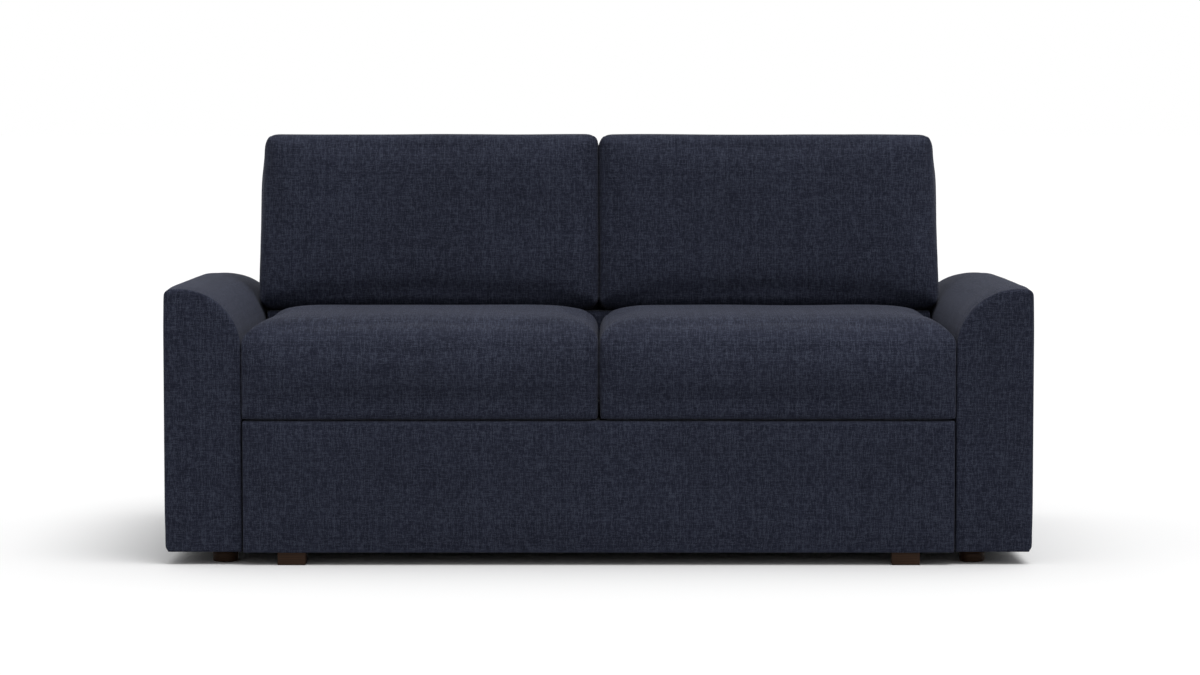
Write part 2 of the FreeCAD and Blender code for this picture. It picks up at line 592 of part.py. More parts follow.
def make_head_section():
    low, high = HEAD_TUBE_Z, f"{HEAD_TUBE_Z} + frame_tube"
    under = f"{high} - bed_cloth"
    tube_frame("head", NEAR_TUBE_Y, HEAD_REAR, low, slat_places(NEAR_TUBE_Y, HEAD_REAR, 3), (low, under))
    bed_cloth("head", f"{NEAR_TUBE_Y} + frame_tube", f"{HEAD_REAR} - frame_tube", under)
    mattress("head", f"{TURN_Y} + section_gap", HEAD_REAR, high)
    lug = hinge_lug("head_turn", OUTER_LUG, TURN_Y, TURN_Z, low, TURN_Z, NEAR_TUBE_Y)
    both(lug, "head_hinge_plates")
    pin = rod("turn_pin", "hinge_pin", f"{FRAME_HALF} + hinge_side_gap - ({INNER_LUG} - hinge_side_gap)",
              f"{INNER_LUG} - hinge_side_gap", TURN_Y, TURN_Z)
    both(pin, "turn_hinge_pins")


def make_middle_section():
    """Middle section, which lies upside down on the head section while the sofa is closed."""
    low, high = MIDDLE_TUBE_Z, f"{MIDDLE_TUBE_Z} + frame_tube"
    over = f"{low} + bed_cloth"
    last_slat = f"({LEG_PIVOT_Y} - {LEG_LENGTH} - leg_brace_gap)"
    slats = [f"({NEAR_TUBE_Y} + {last_slat}) / 2", last_slat]
    starts = (f"{FRAME_HALF} - frame_tube", f"-({FRAME_HALF} - frame_tube / 3)")
    bores = [rod(f"leg_bore_{n}", "leg_shaft_radius + pin_clearance", "2 * frame_tube / 3", x, LEG_PIVOT_Y,
                 LEG_PIVOT_Z) for n, x in enumerate(starts)]
    tube_frame("middle", NEAR_TUBE_Y, FAR_TUBE_Y, low, slats, (over, high), bores)
    bed_cloth("middle", f"{NEAR_TUBE_Y} + frame_tube", f"{FAR_TUBE_Y} - frame_tube", low)
    mattress("middle", f"{TURN_Y} + section_gap", f"{FOLD_Y} - section_gap", f"{TURN_Z} + fold_gap")
    near = hinge_lug("middle_turn", INNER_LUG, TURN_Y, TURN_Z, TURN_Z, high, NEAR_TUBE_Y)
    both(near, "middle_turn_plates")
    far = fold_lug("middle_fold", OUTER_LUG, low, FOLD_Z)
    both(far, "middle_fold_plates")


def fold_lug(name, start, low, high):
    """Upright plate about the fold line between the middle and foot sections."""
    x = (start, f"{start} + hinge_plate")
    plate = block(f"{name}_plate", x, (FAR_TUBE_Y, f"{FOLD_Y} + hinge_radius"), (low, high))
    eye = rod(f"{name}_eye", "hinge_radius", "hinge_plate", start, FOLD_Y, FOLD_Z)
    bore = rod(f"{name}_bore", "hinge_pin + pin_clearance", "hinge_plate", start, FOLD_Y, FOLD_Z)
    return cut(f"{name}_lug", union(f"{name}_solid", [plate, eye]), [bore])


def make_middle_leg():
    """Two legs on one rod. They hang from the middle section and lie in its frame when folded."""
    reach = f"{FRAME_HALF} - frame_tube / 2"
    shaft = rod("leg_shaft", "leg_shaft_radius", f"2 * ({reach})", f"-({reach})", LEG_PIVOT_Y, LEG_PIVOT_Z)
    legs, glides = [], []
    tube_length = f"{LEG_LENGTH} - glide_length"
    for n, side in enumerate(("", "-")):
        x = f"{side}({FRAME_HALF} - leg_side_inset)"
        legs.append(rod(f"leg_{n}", "leg_radius", tube_length, x, f"{LEG_PIVOT_Y} - ({tube_length})",
                        LEG_PIVOT_Z, "Y"))
        glides.append(rod(f"leg_glide_{n}", "glide_radius", "glide_length - fold_gap", x,
                          f"{LEG_PIVOT_Y} - {LEG_LENGTH} + fold_gap", LEG_PIVOT_Z, "Y"))
    legs = [cut(f"leg_coped_{n}", leg, [shaft]) for n, leg in enumerate(legs)]
    keep(group("middle_leg_tubes", [shaft] + legs), "middle_leg")
    keep(group("leg_glide_pair", glides), "leg_glides")


ANGLE_XS = [f"(({share}) * ({FRAME_HALF} - angle_end_inset))" for share in ("-1", "-1 / 3", "1 / 3", "1")]
PANEL_BOLT_Z = f"({FOOT_TUBE_Z} - angle_leg / 2)"


def panel_bolt_tools(name, radius):
    return [rod(f"{name}_{n}", radius, "panel_bolt_length + angle_plate", x,
                f"{PANEL_REAR} - panel_bolt_length", PANEL_BOLT_Z, "Y") for n, x in enumerate(ANGLE_XS)]


def make_foot_section():
    """Foot section, upright in both positions, with the front panel bolted to its front tube."""
    low, high = FOOT_TUBE_Z, f"{FOOT_TUBE_Z} + frame_tube"
    under = f"{high} - bed_cloth"
    cloth_y = (f"{PANEL_REAR} + frame_tube", f"{FAR_TUBE_Y} - frame_tube")
    tube_frame("foot", PANEL_REAR, FAR_TUBE_Y, low, slat_places(PANEL_REAR, FAR_TUBE_Y, 2), (low, under))
    bed_cloth("foot", *cloth_y, under)
    mattress("foot", PANEL_REAR, f"{FOLD_Y} - section_gap", high)
    both(fold_lug("foot_fold", INNER_LUG, FOLD_Z, high), "foot_fold_plates")
    pin = rod("fold_pin", "hinge_pin", f"{FRAME_HALF} + hinge_side_gap - ({INNER_LUG} - hinge_side_gap)",
              f"{INNER_LUG} - hinge_side_gap", FOLD_Y, FOLD_Z)
    both(pin, "fold_hinge_pins")
    angles = []
    for n, x in enumerate(ANGLE_XS):
        wide = (f"{x} - angle_width / 2", f"{x} + angle_width / 2")
        upright = block(f"angle_upright_{n}", wide, (PANEL_REAR, f"{PANEL_REAR} + angle_plate"),
                        (f"{low} - angle_leg", low))
        level = block(f"angle_level_{n}", wide, (PANEL_REAR, f"{PANEL_REAR} + angle_foot"),
                      (f"{low} - angle_plate", low))
        angles.append(union(f"angle_{n}", [upright, level]))
    holes = panel_bolt_tools("angle_hole", "panel_bolt + pin_clearance")
    pieces = [cut(f"angle_drilled_{n}", angle, [hole]) for n, (angle, hole) in enumerate(zip(angles, holes))]
    keep(group("panel_angle_set", pieces), "panel_angles")
    shanks = panel_bolt_tools("panel_shank", "panel_bolt")
    heads = [rod(f"panel_head_{n}", "panel_bolt_head", "angle_plate", x, f"{PANEL_REAR} + angle_plate",
                 PANEL_BOLT_Z, "Y") for n, x in enumerate(ANGLE_XS)]
    bolts = [union(f"panel_bolt_{n}", [shank, head]) for n, (shank, head) in enumerate(zip(shanks, heads))]
    keep(group("panel_bolt_set", bolts), "panel_bolts")
    return holes


def make_front_panel(holes):
    """Plywood panel in a padded wrap, with two block feet that also stand under the open bed."""
    top = BED_TOP
    form = block("panel_form", (f"-{PANEL_HALF}", PANEL_HALF), (PANEL_FRONT, PANEL_REAR), ("floor_gap", top))
    at_front = lies_at("Y", place_value(PANEL_FRONT))
    form = rounded(form, "panel_rounded", "panel_round", at_front)
    half = f"{PANEL_HALF} - panel_margin"
    board = block("panel_sheet", (f"-({half})", half), (f"{PANEL_REAR} - panel_board", PANEL_REAR),
                  ("floor_gap", f"{top} - panel_margin"))
    keep(cut("front_panel_wrap", form, [board]), "front_panel_cover")
    keep(cut("front_panel_sheet", board, holes), "front_panel_board")
    centre = f"({PANEL_HALF} - block_foot_inset)"
    start = f"{PANEL_FRONT} + block_foot_setback"
    foot = block("block_foot", (f"{centre} - block_foot_width / 2", f"{centre} + block_foot_width / 2"),
                 (start, f"{start} + block_foot_depth"), (0, "floor_gap"))
    keep_pair(foot, "block_foot")


def soft_form(name, half_width, half_depth, height, front_radii, side_radii, corner, inset):
    """Cushion form where its front, side and plan outlines meet, drawn in by an inset all round."""
    wide, deep = f"{half_width} - {inset}", f"{half_depth} - {inset}"
    low, high = f"-({inset})", f"{height} - {inset}"
    front = sketched_body(f"{name}_front", "XZ_Plane",
                          rounded_rectangle(wide, low, high, front_radii), f"2 * ({deep})")
    side = sketched_body(f"{name}_side", "YZ_Plane",
                         rounded_rectangle(deep, low, high, side_radii), f"2 * ({wide})")
    plan = sketched_body(f"{name}_plan", "XY_Plane",
                         rounded_rectangle(wide, deep, deep, [corner] * 4), f"2 * ({height})")
    form = doc.addObject("Part::MultiCommon", f"{name}_form")
    form.Shapes = [front, side, plan]
    return form, [front, side, plan]


def make_seat_cushions():
    half_width = f"({PANEL_HALF} - cushion_gap) / 2"
    half_depth = f"({SEAT_REAR} - {FRONT}) / 2"
    centre_x = f"{PANEL_HALF} - ({half_width})"
    centre_y = f"({SEAT_REAR} + {FRONT}) / 2"
    forms = []
    for name, inset in (("seat_outer", "0"), ("seat_core", "cover_cloth")):
        form, bodies = soft_form(
            name, half_width, half_depth, "seat_height",
            ["seat_base_round", "seat_base_round", "seat_top_round", "seat_top_round"],
            ["seat_base_round", "seat_base_round", "seat_corner", "seat_nose_round"],
            "seat_corner", inset)
        for body in bodies:
            place(body, centre_x, centre_y, SEAT_BASE)
        forms.append(form)
    outer, core = forms
    slot = block("seat_zip", (f"{centre_x} - zip_length / 2", f"{centre_x} + zip_length / 2"),
                    (f"{SEAT_REAR} - 3 * cover_cloth / 2", f"{SEAT_REAR} + cover_cloth"),
                    (f"{SEAT_BASE} + seat_height / 2 - zip_height / 2",
                     f"{SEAT_BASE} + seat_height / 2 + zip_height / 2"))
    keep_pair(core, "seat_cushion_foam")
    keep_pair(cut("seat_cover", outer, [core, slot]), "seat_cushion_cover")


def make_back_cushions():
    half_width = f"({BACK_CUSHION_EDGE} - cushion_gap) / 2"
    half_depth = "back_cushion_depth / 2"
    centre_x = f"{BACK_CUSHION_EDGE} - ({half_width})"
    base_z = "(deck_top - back_cushion_sink)"
    centre_y = (f"{BACK_SEAT_Y} - back_cushion_sink * tan(back_recline)"
                f" - back_cushion_depth / 2 / cos(back_recline) - fold_gap")
    lean = Placement(Vector(), Rotation(Vector(1, 0, 0), -float(sheet.get("back_recline"))))
    seat = block("deck_space", (0, "overall_width"), (FRONT, REAR), ("deck_top + fold_gap", "overall_width"))
    forms = []
    for name, inset in (("back_outer", "0"), ("back_core", "cover_cloth")):
        form, bodies = soft_form(
            name, half_width, half_depth, "back_cushion_height",
            ["back_base_round", "back_base_round", "back_top_round", "back_top_round"],
            ["back_front_round", "back_base_round", "back_front_round", "back_front_round"],
            "back_corner", inset)
        for body in bodies:
            body.Placement = lean
            place(body, centre_x, centre_y, base_z)
        forms.append(form)
    outer_form, core_form = forms
    outer = doc.addObject("Part::Common", "back_outer_on_deck")
    outer.Base, outer.Tool = outer_form, seat
    inner_seat = block("core_space", (0, "overall_width"), (FRONT, REAR),
                       ("deck_top + fold_gap + cover_cloth", "overall_width"))
    core = doc.addObject("Part::Common", "back_core_on_deck")
    core.Base, core.Tool = core_form, inner_seat
    slot = block("back_zip", (f"{centre_x} - zip_length / 2", f"{centre_x} + zip_length / 2"),
                    (f"{centre_y} - zip_height / 2", f"{centre_y} + zip_height / 2"),
                    ("deck_top", "deck_top + fold_gap + 3 * cover_cloth / 2"))
    keep_pair(core, "back_cushion_fill")
    keep_pair(cut("back_cushion_shell", outer, [core, slot]), "back_cushion_cover")


make_arms()
make_feet()
make_base()
make_back()
make_rear_deck()
make_links()
make_head_section()
make_middle_section()
make_middle_leg()
make_front_panel(make_foot_section())
make_seat_cushions()
make_back_cushions()
doc.recompute()

faults = [o.Label for o in doc.Objects if "Invalid" in o.State or "Error" in o.State]
faults += [o.Label for o in subparts if o.Shape.isNull() or not o.Shape.isValid() or not o.Shape.Solids]
if faults:
    raise SystemExit(f"these objects failed: {faults}")

os.makedirs("parts", exist_ok=True)
for obj in subparts:
    obj.Shape.exportStep(f"parts/{obj.Label}.step")
print(len(subparts), "nodes written")
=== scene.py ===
"""Looks of the sleeper sofa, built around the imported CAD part. Metres, +Z up, -Y to the front."""

import json
import math

import bmesh
import bpy
import numpy as np
from mathutils import Matrix, Vector, noise


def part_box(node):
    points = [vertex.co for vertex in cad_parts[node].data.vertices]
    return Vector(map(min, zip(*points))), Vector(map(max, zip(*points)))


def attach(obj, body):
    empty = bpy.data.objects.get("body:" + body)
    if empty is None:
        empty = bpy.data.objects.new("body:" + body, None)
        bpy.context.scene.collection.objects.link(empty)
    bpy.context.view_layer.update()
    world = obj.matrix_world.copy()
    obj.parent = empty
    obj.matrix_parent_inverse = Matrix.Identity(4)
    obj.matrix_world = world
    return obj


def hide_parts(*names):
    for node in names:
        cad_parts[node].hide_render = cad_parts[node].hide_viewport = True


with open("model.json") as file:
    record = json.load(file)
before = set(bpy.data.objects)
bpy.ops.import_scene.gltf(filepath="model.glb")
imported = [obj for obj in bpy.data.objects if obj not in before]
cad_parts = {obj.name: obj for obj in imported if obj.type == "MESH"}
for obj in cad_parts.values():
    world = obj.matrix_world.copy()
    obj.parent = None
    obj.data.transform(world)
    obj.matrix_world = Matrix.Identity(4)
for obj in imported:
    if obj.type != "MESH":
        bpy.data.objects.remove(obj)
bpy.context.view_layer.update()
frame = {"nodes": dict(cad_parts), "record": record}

# Photograph: 1200 x 675, level horizon at row 122, taken from 7 m away
PHOTO_WIDTH = 1200
FOCAL_PIXELS = 3347
CAMERA_PLACE = (0.0028, -7.492, 0.933)
CAMERA_TILT = 3.684
SENSOR = 36.0


# Shader graphs
class Graph:
    """Short way to write shader nodes. A value is a number, a tuple or another node's socket."""

    def __init__(self, tree):
        self.tree = tree

    def node(self, kind, **settings):
        made = self.tree.nodes.new(kind)
        for key, value in settings.items():
            setattr(made, key, value)
        return made

    def feed(self, socket, value):
        if isinstance(value, bpy.types.NodeSocket):
            self.tree.links.new(value, socket)
        elif value is not None:
            socket.default_value = value

    def fill(self, node, **values):
        """Feeds a node's sockets by name, with _ for a space."""
        for name, value in values.items():
            self.feed(node.inputs[name.replace("_", " ")], value)
        return node.outputs

    def row(self, node, *values):
        """Feeds a node's first sockets in their order."""
        for socket, value in zip(node.inputs, values):
            self.feed(socket, value)
        return node.outputs[0]

    def math(self, operation, *values):
        return self.row(self.node("ShaderNodeMath", operation=operation), *values)

    def times(self, a, b):
        return self.math("MULTIPLY", a, b)

    def times_add(self, a, b, c):
        return self.math("MULTIPLY_ADD", a, b, c)

    def plus(self, a, b):
        return self.math("ADD", a, b)

    def minus(self, a, b):
        return self.math("SUBTRACT", a, b)

    def parts(self, vector):
        made = self.node("ShaderNodeSeparateXYZ")
        self.row(made, vector)
        return made.outputs[:3]

    def join(self, x, y, z):
        return self.row(self.node("ShaderNodeCombineXYZ"), x, y, z)

    def noise(self, vector, scale, detail=2.0, roughness=0.5):
        made = self.node("ShaderNodeTexNoise")
        return self.fill(made, Vector=vector, Scale=scale, Detail=detail, Roughness=roughness)[0]

    def random(self, vector):
        return self.fill(self.node("ShaderNodeTexWhiteNoise", noise_dimensions="3D"), Vector=vector)[0]

    def mix(self, factor, a, b, blend="MIX"):
        """Colour between a and b, each a socket or red, green and blue."""
        made = self.node("ShaderNodeMix", data_type="RGBA", blend_type=blend)
        for index, value in ((0, factor), (6, a), (7, b)):
            self.feed(made.inputs[index], (*value, 1) if isinstance(value, tuple) else value)
        return made.outputs[2]

    def between(self, factor, a, b):
        """Number between a and b."""
        made = self.node("ShaderNodeMix", data_type="FLOAT")
        for index, value in ((0, factor), (2, a), (3, b)):
            self.feed(made.inputs[index], value)
        return made.outputs[0]

    def steps(self, value, low, high, start=0.0, end=1.0):
        return self.row(self.node("ShaderNodeMapRange", clamp=True), value, low, high, start, end)

    def group(self, tree, **values):
        made = self.node("ShaderNodeGroup")
        made.node_tree = tree
        return self.fill(made, **values)

    def to_eye(self):
        """1 where a surface is seen straight, in a mirror or through glass."""
        rays = self.node("ShaderNodeLightPath").outputs
        straight = self.math("MAXIMUM", rays["Is Camera Ray"], rays["Is Glossy Ray"])
        return self.math("MAXIMUM", straight, rays["Is Transmission Ray"])


def shader_group(name, inputs, outputs):
    """Empty shader group with named sockets: inputs as (name, kind, default), outputs as numbers."""
    tree = bpy.data.node_groups.new(name, "ShaderNodeTree")
    for title, kind, default in inputs:
        socket = tree.interface.new_socket(title, in_out="INPUT", socket_type=f"NodeSocket{kind}")
        if default is not None:
            socket.default_value = default
    for title in outputs:
        tree.interface.new_socket(title, in_out="OUTPUT", socket_type="NodeSocketFloat")
    g = Graph(tree)
    return g, g.node("NodeGroupInput").outputs, g.node("NodeGroupOutput")


def make_weave_plane():
    """Plain weave in one plane: which thread lies on top, how high it is, and its own tone."""
    g, given, put = shader_group(
        "weave_plane",
        [("Across", "Float", 0.0), ("Along", "Float", 0.0), ("Slub", "Float", 0.5)],
        ["Tone", "Height"])
    across, along, slub = given[0], given[1], given[2]
    warp, weft = g.math("FLOOR", across), g.math("FLOOR", along)

    def thread(number, run, shift):
        """Tone of one thread along its run, with thick slubs."""
        own = g.random(g.join(number, shift, 3.1))
        run_place = g.times_add(run, 0.13, g.times(own, 37.0))
        slow = g.noise(g.join(g.times(number, 3.7), run_place, shift), 1.0, 1.0)
        thick = g.steps(slow, 0.34, 0.66, -1.0, 1.0)
        return g.plus(g.times(g.minus(own, 0.5), 0.5), g.times(thick, slub))

    def arch(run):
        """Round top of a thread, across its width."""
        return g.math("POWER", g.math("ABSOLUTE", g.math("SINE", g.times(run, math.pi))), 0.6)

    wave = g.math("COSINE", g.times(g.plus(g.minus(along, 0.5), warp), math.pi))
    warp_high = g.times(arch(across), g.times_add(wave, 0.5, 0.5))
    weft_high = g.times(arch(along), g.minus(1.0, g.times_add(wave, 0.5, 0.5)))
    on_top = g.math("GREATER_THAN", warp_high, weft_high)
    tone = g.between(on_top, thread(weft, across, 7.7), thread(warp, along, 1.3))
    crossing = g.minus(g.random(g.join(warp, weft, on_top)), 0.5)
    g.fill(put, Tone=g.times_add(crossing, 0.30, tone), Height=g.math("MAXIMUM", warp_high, weft_high))
    return g.tree


def make_cloth_weave(plane):
    """Plain weave on all sides of a piece, laid flat on the side that each face looks to."""
    g, given, put = shader_group(
        "cloth_weave",
        [("Place", "Vector", None), ("Facing", "Vector", None), ("Threads", "Float", 500.0),
         ("Slub", "Float", 0.6)],
        ["Tone", "Height", "Fuzz"])
    x, y, z = (g.times(part, given["Threads"]) for part in g.parts(given["Place"]))
    facing = [g.math("POWER", g.math("ABSOLUTE", part), 6.0) for part in g.parts(given["Facing"])]
    total = g.plus(g.plus(facing[0], facing[1]), facing[2])
    tone, height = 0.0, 0.0
    for weight, (u, v) in zip(facing, ((y, z), (x, z), (x, y))):
        made = g.group(plane, Across=u, Along=v, Slub=given["Slub"])
        share = g.math("DIVIDE", weight, total)
        tone = g.times_add(made["Tone"], share, tone)
        height = g.times_add(made["Height"], share, height)
    g.fill(put, Tone=tone, Height=height, Fuzz=g.noise(given["Place"], 900.0, 3.0, 0.7))
    return g.tree


def make_wood_grain():
    """Straight grain along Z of the place it is given, with pores and slow colour change."""
    g, given, put = shader_group(
        "wood_grain", [("Place", "Vector", None), ("Ring", "Float", 60.0)], ["Grain", "Pore", "Cloud"])
    x, y, z = g.parts(given["Place"])
    flow = g.join(x, y, g.times(z, 0.06))
    wander = g.times_add(g.noise(flow, 9.0, 2.0), 0.10, g.plus(x, g.times(y, 0.6)))
    rings = g.math("FRACT", g.times(wander, given["Ring"]))
    streaks = g.steps(g.noise(flow, 240.0, 3.0, 0.6), 0.3, 0.7, 0.6, 1.0)
    fine = g.noise(g.join(x, y, g.times(z, 0.02)), 1400.0, 2.0, 0.6)
    g.fill(put, Grain=g.times(rings, streaks), Pore=g.steps(fine, 0.58, 0.72),
           Cloud=g.noise(given["Place"], 7.0, 3.0))
    return g.tree


def make_use_marks():
    """Fine dust, handling marks and slow unevenness that painted and plated parts share."""
    g, given, put = shader_group(
        "use_marks", [("Place", "Vector", None), ("Size", "Float", 40.0)], ["Dust", "Scuff", "Grit"])
    place, size = given["Place"], given["Size"]
    g.fill(put, Dust=g.steps(g.noise(place, size, 5.0, 0.6), 0.45, 0.75),
           Scuff=g.steps(g.noise(place, g.times(size, 6.0), 3.0, 0.7), 0.66, 0.72),
           Grit=g.noise(place, 2600.0, 2.0, 0.6))
    return g.tree


WEAVE = make_cloth_weave(make_weave_plane())
GRAIN = make_wood_grain()
MARKS = make_use_marks()


MATERIALS = {}


def material(name):
    """New material: its graph, its Principled shader and the piece's own coordinates."""
    made = bpy.data.materials.new(name)
    made.use_nodes = True
    MATERIALS[name] = made
    g = Graph(made.node_tree)
    return g, made.node_tree.nodes["Principled BSDF"], g.node("ShaderNodeTexCoord").outputs


def scaled(colour, share):
    return tuple(c * share for c in colour)


def raise_surface(g, shader, height, depth, distance):
    bump = g.fill(g.node("ShaderNodeBump"), Strength=depth, Distance=distance, Height=height)
    g.feed(shader.inputs["Normal"], bump[0])


def cloth_material(name, tones, threads, slub, sheen, depth):
    """Woven cloth: threads of three tones, painted shade in the hollows between threads, a soft fuzz and slow
    patches of wear.
    """
    dark, mid, light = tones
    g, shader, coords = material(name)
    place = coords["Object"]
    made = g.group(WEAVE, Place=place, Facing=coords["Normal"], Threads=threads, Slub=slub)
    tone = g.steps(made["Tone"], -0.75, 0.75)
    thread = g.mix(g.steps(tone, 0.0, 0.5), dark, mid)
    thread = g.mix(g.steps(tone, 0.5, 1.0), thread, light)
    # Painted shade: the colour darkens to 0.55 where the weave is low, in the hollows between threads.
    gap = g.steps(made["Height"], 0.05, 0.55, 0.55, 1.0)
    patch = g.steps(g.noise(place, 5.0, 3.0, 0.55), 0.3, 0.7, 0.93, 1.07)
    # Painted shade in the weave's hollows, times the slow patches of tone.
    gap_shade_and_patches = g.times(gap, patch)
    g.fill(shader, Base_Color=g.mix(1.0, thread, g.join(gap_shade_and_patches, gap_shade_and_patches, gap_shade_and_patches), "MULTIPLY"),
           Roughness=g.steps(made["Fuzz"], 0.3, 0.7, 0.82, 0.96), Specular_IOR_Level=0.15,
           Sheen_Weight=sheen, Sheen_Roughness=0.42, Sheen_Tint=(*[min(1.0, 4 * c + 0.5) for c in mid], 1))
    raise_surface(g, shader, g.times_add(made["Fuzz"], 0.35, made["Height"]), depth, 0.0006)


def wood_material(name, pale, dark, ring, along, roughness):
    """Wood whose grain runs along an axis of the piece."""
    g, shader, coords = material(name)
    turn = {"X": (0, math.pi / 2, 0), "Y": (math.pi / 2, 0, 0)}[along]
    place = g.fill(g.node("ShaderNodeMapping"), Vector=coords["Object"], Rotation=turn)[0]
    made = g.group(GRAIN, Place=place, Ring=ring)
    colour = g.mix(g.steps(made["Grain"], 0.1, 0.95), pale, dark)
    colour = g.mix(g.times(made["Pore"], 0.6), colour, scaled(dark, 0.45))
    clouds = g.steps(made["Cloud"], 0.3, 0.7, 0.0, 0.35)
    g.fill(shader, Base_Color=g.mix(clouds, colour, scaled(pale, 1.15)), Specular_IOR_Level=0.2,
           Roughness=g.steps(made["Grain"], 0.0, 1.0, roughness - 0.07, roughness + 0.09))
    raise_surface(g, shader, g.times_add(made["Pore"], -0.8, made["Grain"]), 0.18, 0.0006)


def metal_material(name, base, worn, metallic, roughness, grit, scuff):
    """Painted or plated steel with dust, a few scuffs and a fine orange peel."""
    g, shader, coords = material(name)
    made = g.group(MARKS, Place=coords["Object"], Size=34.0)
    colour = g.mix(g.times(made["Scuff"], scuff), base, worn)
    colour = g.mix(g.times(made["Dust"], 0.10), colour, (0.32, 0.31, 0.29))
    g.fill(shader, Base_Color=colour, Metallic=metallic,
           Roughness=g.steps(made["Dust"], 0.0, 1.0, roughness, roughness + 0.16))
    raise_surface(g, shader, made["Grit"], grit, 0.0003)


def foam_material(name, base, cell):
    """Open foam or fibre fill, which only shows where a cover is open, with painted shade in the pit of each
    cell.
    """
    g, shader, coords = material(name)
    cells = g.fill(g.node("ShaderNodeTexVoronoi"), Vector=coords["Object"], Scale=cell)
    # Painted shade: each cell is darker towards its middle, where its bump is lowest.
    tone = g.steps(cells["Distance"], 0.0, 0.7)
    g.fill(shader, Base_Color=g.mix(tone, scaled(base, 0.72), base), Roughness=0.95)
    raise_surface(g, shader, tone, 0.5, 0.0008)


def nonwoven_material(name, base):
    """Thin pressed black cloth with short fibres in all directions."""
    g, shader, coords = material(name)
    fibres = g.node("ShaderNodeTexNoise", noise_type="RIDGED_MULTIFRACTAL")
    tone = g.steps(g.fill(fibres, Vector=coords["Object"], Scale=420.0, Detail=4.0)[0], 0.2, 1.4)
    g.fill(shader, Base_Color=g.mix(tone, base, scaled(base, 3.2)),
           Roughness=g.steps(tone, 0.0, 1.0, 0.9, 0.72))
    raise_surface(g, shader, tone, 0.35, 0.0004)


def plastic_material(name, base):
    g, shader, coords = material(name)
    made = g.group(MARKS, Place=coords["Object"], Size=60.0)
    g.fill(shader, Base_Color=g.mix(made["Scuff"], base, tuple(c + 0.05 for c in base)),
           Roughness=g.steps(made["Dust"], 0.0, 1.0, 0.42, 0.6))
    raise_surface(g, shader, made["Grit"], 0.12, 0.0003)


# Dark, middle and light tone of each cloth's threads
NAVY = ((0.0095, 0.0115, 0.0230), (0.0222, 0.0256, 0.0455), (0.059, 0.068, 0.102))
CREAM = ((0.50, 0.49, 0.46), (0.66, 0.65, 0.61), (0.78, 0.77, 0.74))
GRAPHITE = ((0.10, 0.10, 0.105), (0.19, 0.19, 0.20), (0.30, 0.30, 0.31))
GREY = ((0.22, 0.23, 0.25), (0.33, 0.34, 0.36), (0.44, 0.45, 0.47))

cloth_material("sofa_linen", NAVY, 600.0, 0.66, 0.10, 0.5)
cloth_material("seam_thread", NAVY, 1500.0, 0.2, 0.3, 0.3)
cloth_material("mattress_ticking", CREAM, 900.0, 0.3, 0.25, 0.35)
cloth_material("bed_webbing", GRAPHITE, 380.0, 0.2, 0.1, 0.6)
cloth_material("border_tape", GREY, 1300.0, 0.2, 0.15, 0.4)
nonwoven_material("dust_cloth", (0.010, 0.010, 0.011))
wood_material("foot_wood", (0.034, 0.014, 0.005), (0.014, 0.006, 0.002), 160.0, "X", 0.62)
wood_material("board_wood", (0.56, 0.40, 0.23), (0.40, 0.25, 0.12), 70.0, "X", 0.68)
wood_material("rail_wood", (0.58, 0.42, 0.25), (0.42, 0.27, 0.13), 80.0, "Y", 0.66)
metal_material("black_steel", (0.020, 0.020, 0.022), (0.11, 0.11, 0.11), 0.0, 0.42, 0.22, 0.35)
metal_material("zinc_steel", (0.58, 0.58, 0.56), (0.36, 0.35, 0.32), 1.0, 0.30, 0.10, 0.4)
plastic_material("glide_plastic", (0.018, 0.018, 0.019))
foam_material("cushion_foam", (0.74, 0.68, 0.48), 420.0)
foam_material("cushion_fill", (0.82, 0.82, 0.80), 180.0)

# Every other slot takes the material of its own name
SLOT_MATERIALS = {
    "sofa_fabric": "sofa_linen", "frame_wood": "board_wood",
    "dust_fabric": "dust_cloth", "bed_web": "bed_webbing"}
NODE_SLOTS = {part["node"]: part["material_slot"] for part in frame["record"]["subparts"]}
for node_name, cad_node in frame["nodes"].items():
    slot_name = NODE_SLOTS[node_name]
    for slot_of_node in cad_node.material_slots:
        slot_of_node.material = MATERIALS[SLOT_MATERIALS.get(slot_name, slot_name)]


# Meshes
def plain_mesh(obj):
    """Turns an object's live modifiers into its own plain mesh."""
    graph = bpy.context.evaluated_depsgraph_get()
    made = bpy.data.meshes.new_from_object(obj.evaluated_get(graph))
    obj.modifiers.clear()
    old, obj.data = obj.data, made
    bpy.data.meshes.remove(old)
    return obj


def in_scene(name, data):
    obj = bpy.data.objects.new(name, data)
    bpy.context.scene.collection.objects.link(obj)
    return obj


def smooth(mesh):
    mesh.polygons.foreach_set("use_smooth", [True] * len(mesh.polygons))


def new_piece(name, verts, faces, finish):
    mesh = bpy.data.meshes.new(name)
    mesh.from_pydata([tuple(v) for v in verts], [], faces)
    mesh.update()
    smooth(mesh)
    mesh.materials.append(MATERIALS[finish])
    return in_scene(name, mesh)


def dress(obj, body, slot, *nodes):
    """Puts a finished piece on its CAD body, in place of its CAD nodes. Its slot is not used."""
    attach(obj, body)
    if nodes:
        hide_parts(*nodes)
    return obj


def joined(name, pieces):
    """Several objects' meshes as one piece."""
    mesh = bpy.data.meshes.new(name)
    build = bmesh.new()
    finishes = []
    for piece in pieces:
        first = len(build.faces)
        build.from_mesh(piece.data)
        build.faces.ensure_lookup_table()
        own = piece.data.materials[0]
        if own not in finishes:
            finishes.append(own)
        for face in build.faces[first:]:
            face.material_index = finishes.index(own)
    build.to_mesh(mesh)
    build.free()
    for finish in finishes:
        mesh.materials.append(finish)
    for piece in pieces:
        old = piece.data
        bpy.data.objects.remove(piece)
        bpy.data.meshes.remove(old)
    return in_scene(name, mesh)


def subdivided(obj):
    modifier = obj.modifiers.new("smooth", "SUBSURF")
    modifier.levels = modifier.render_levels = 1
    return plain_mesh(obj)


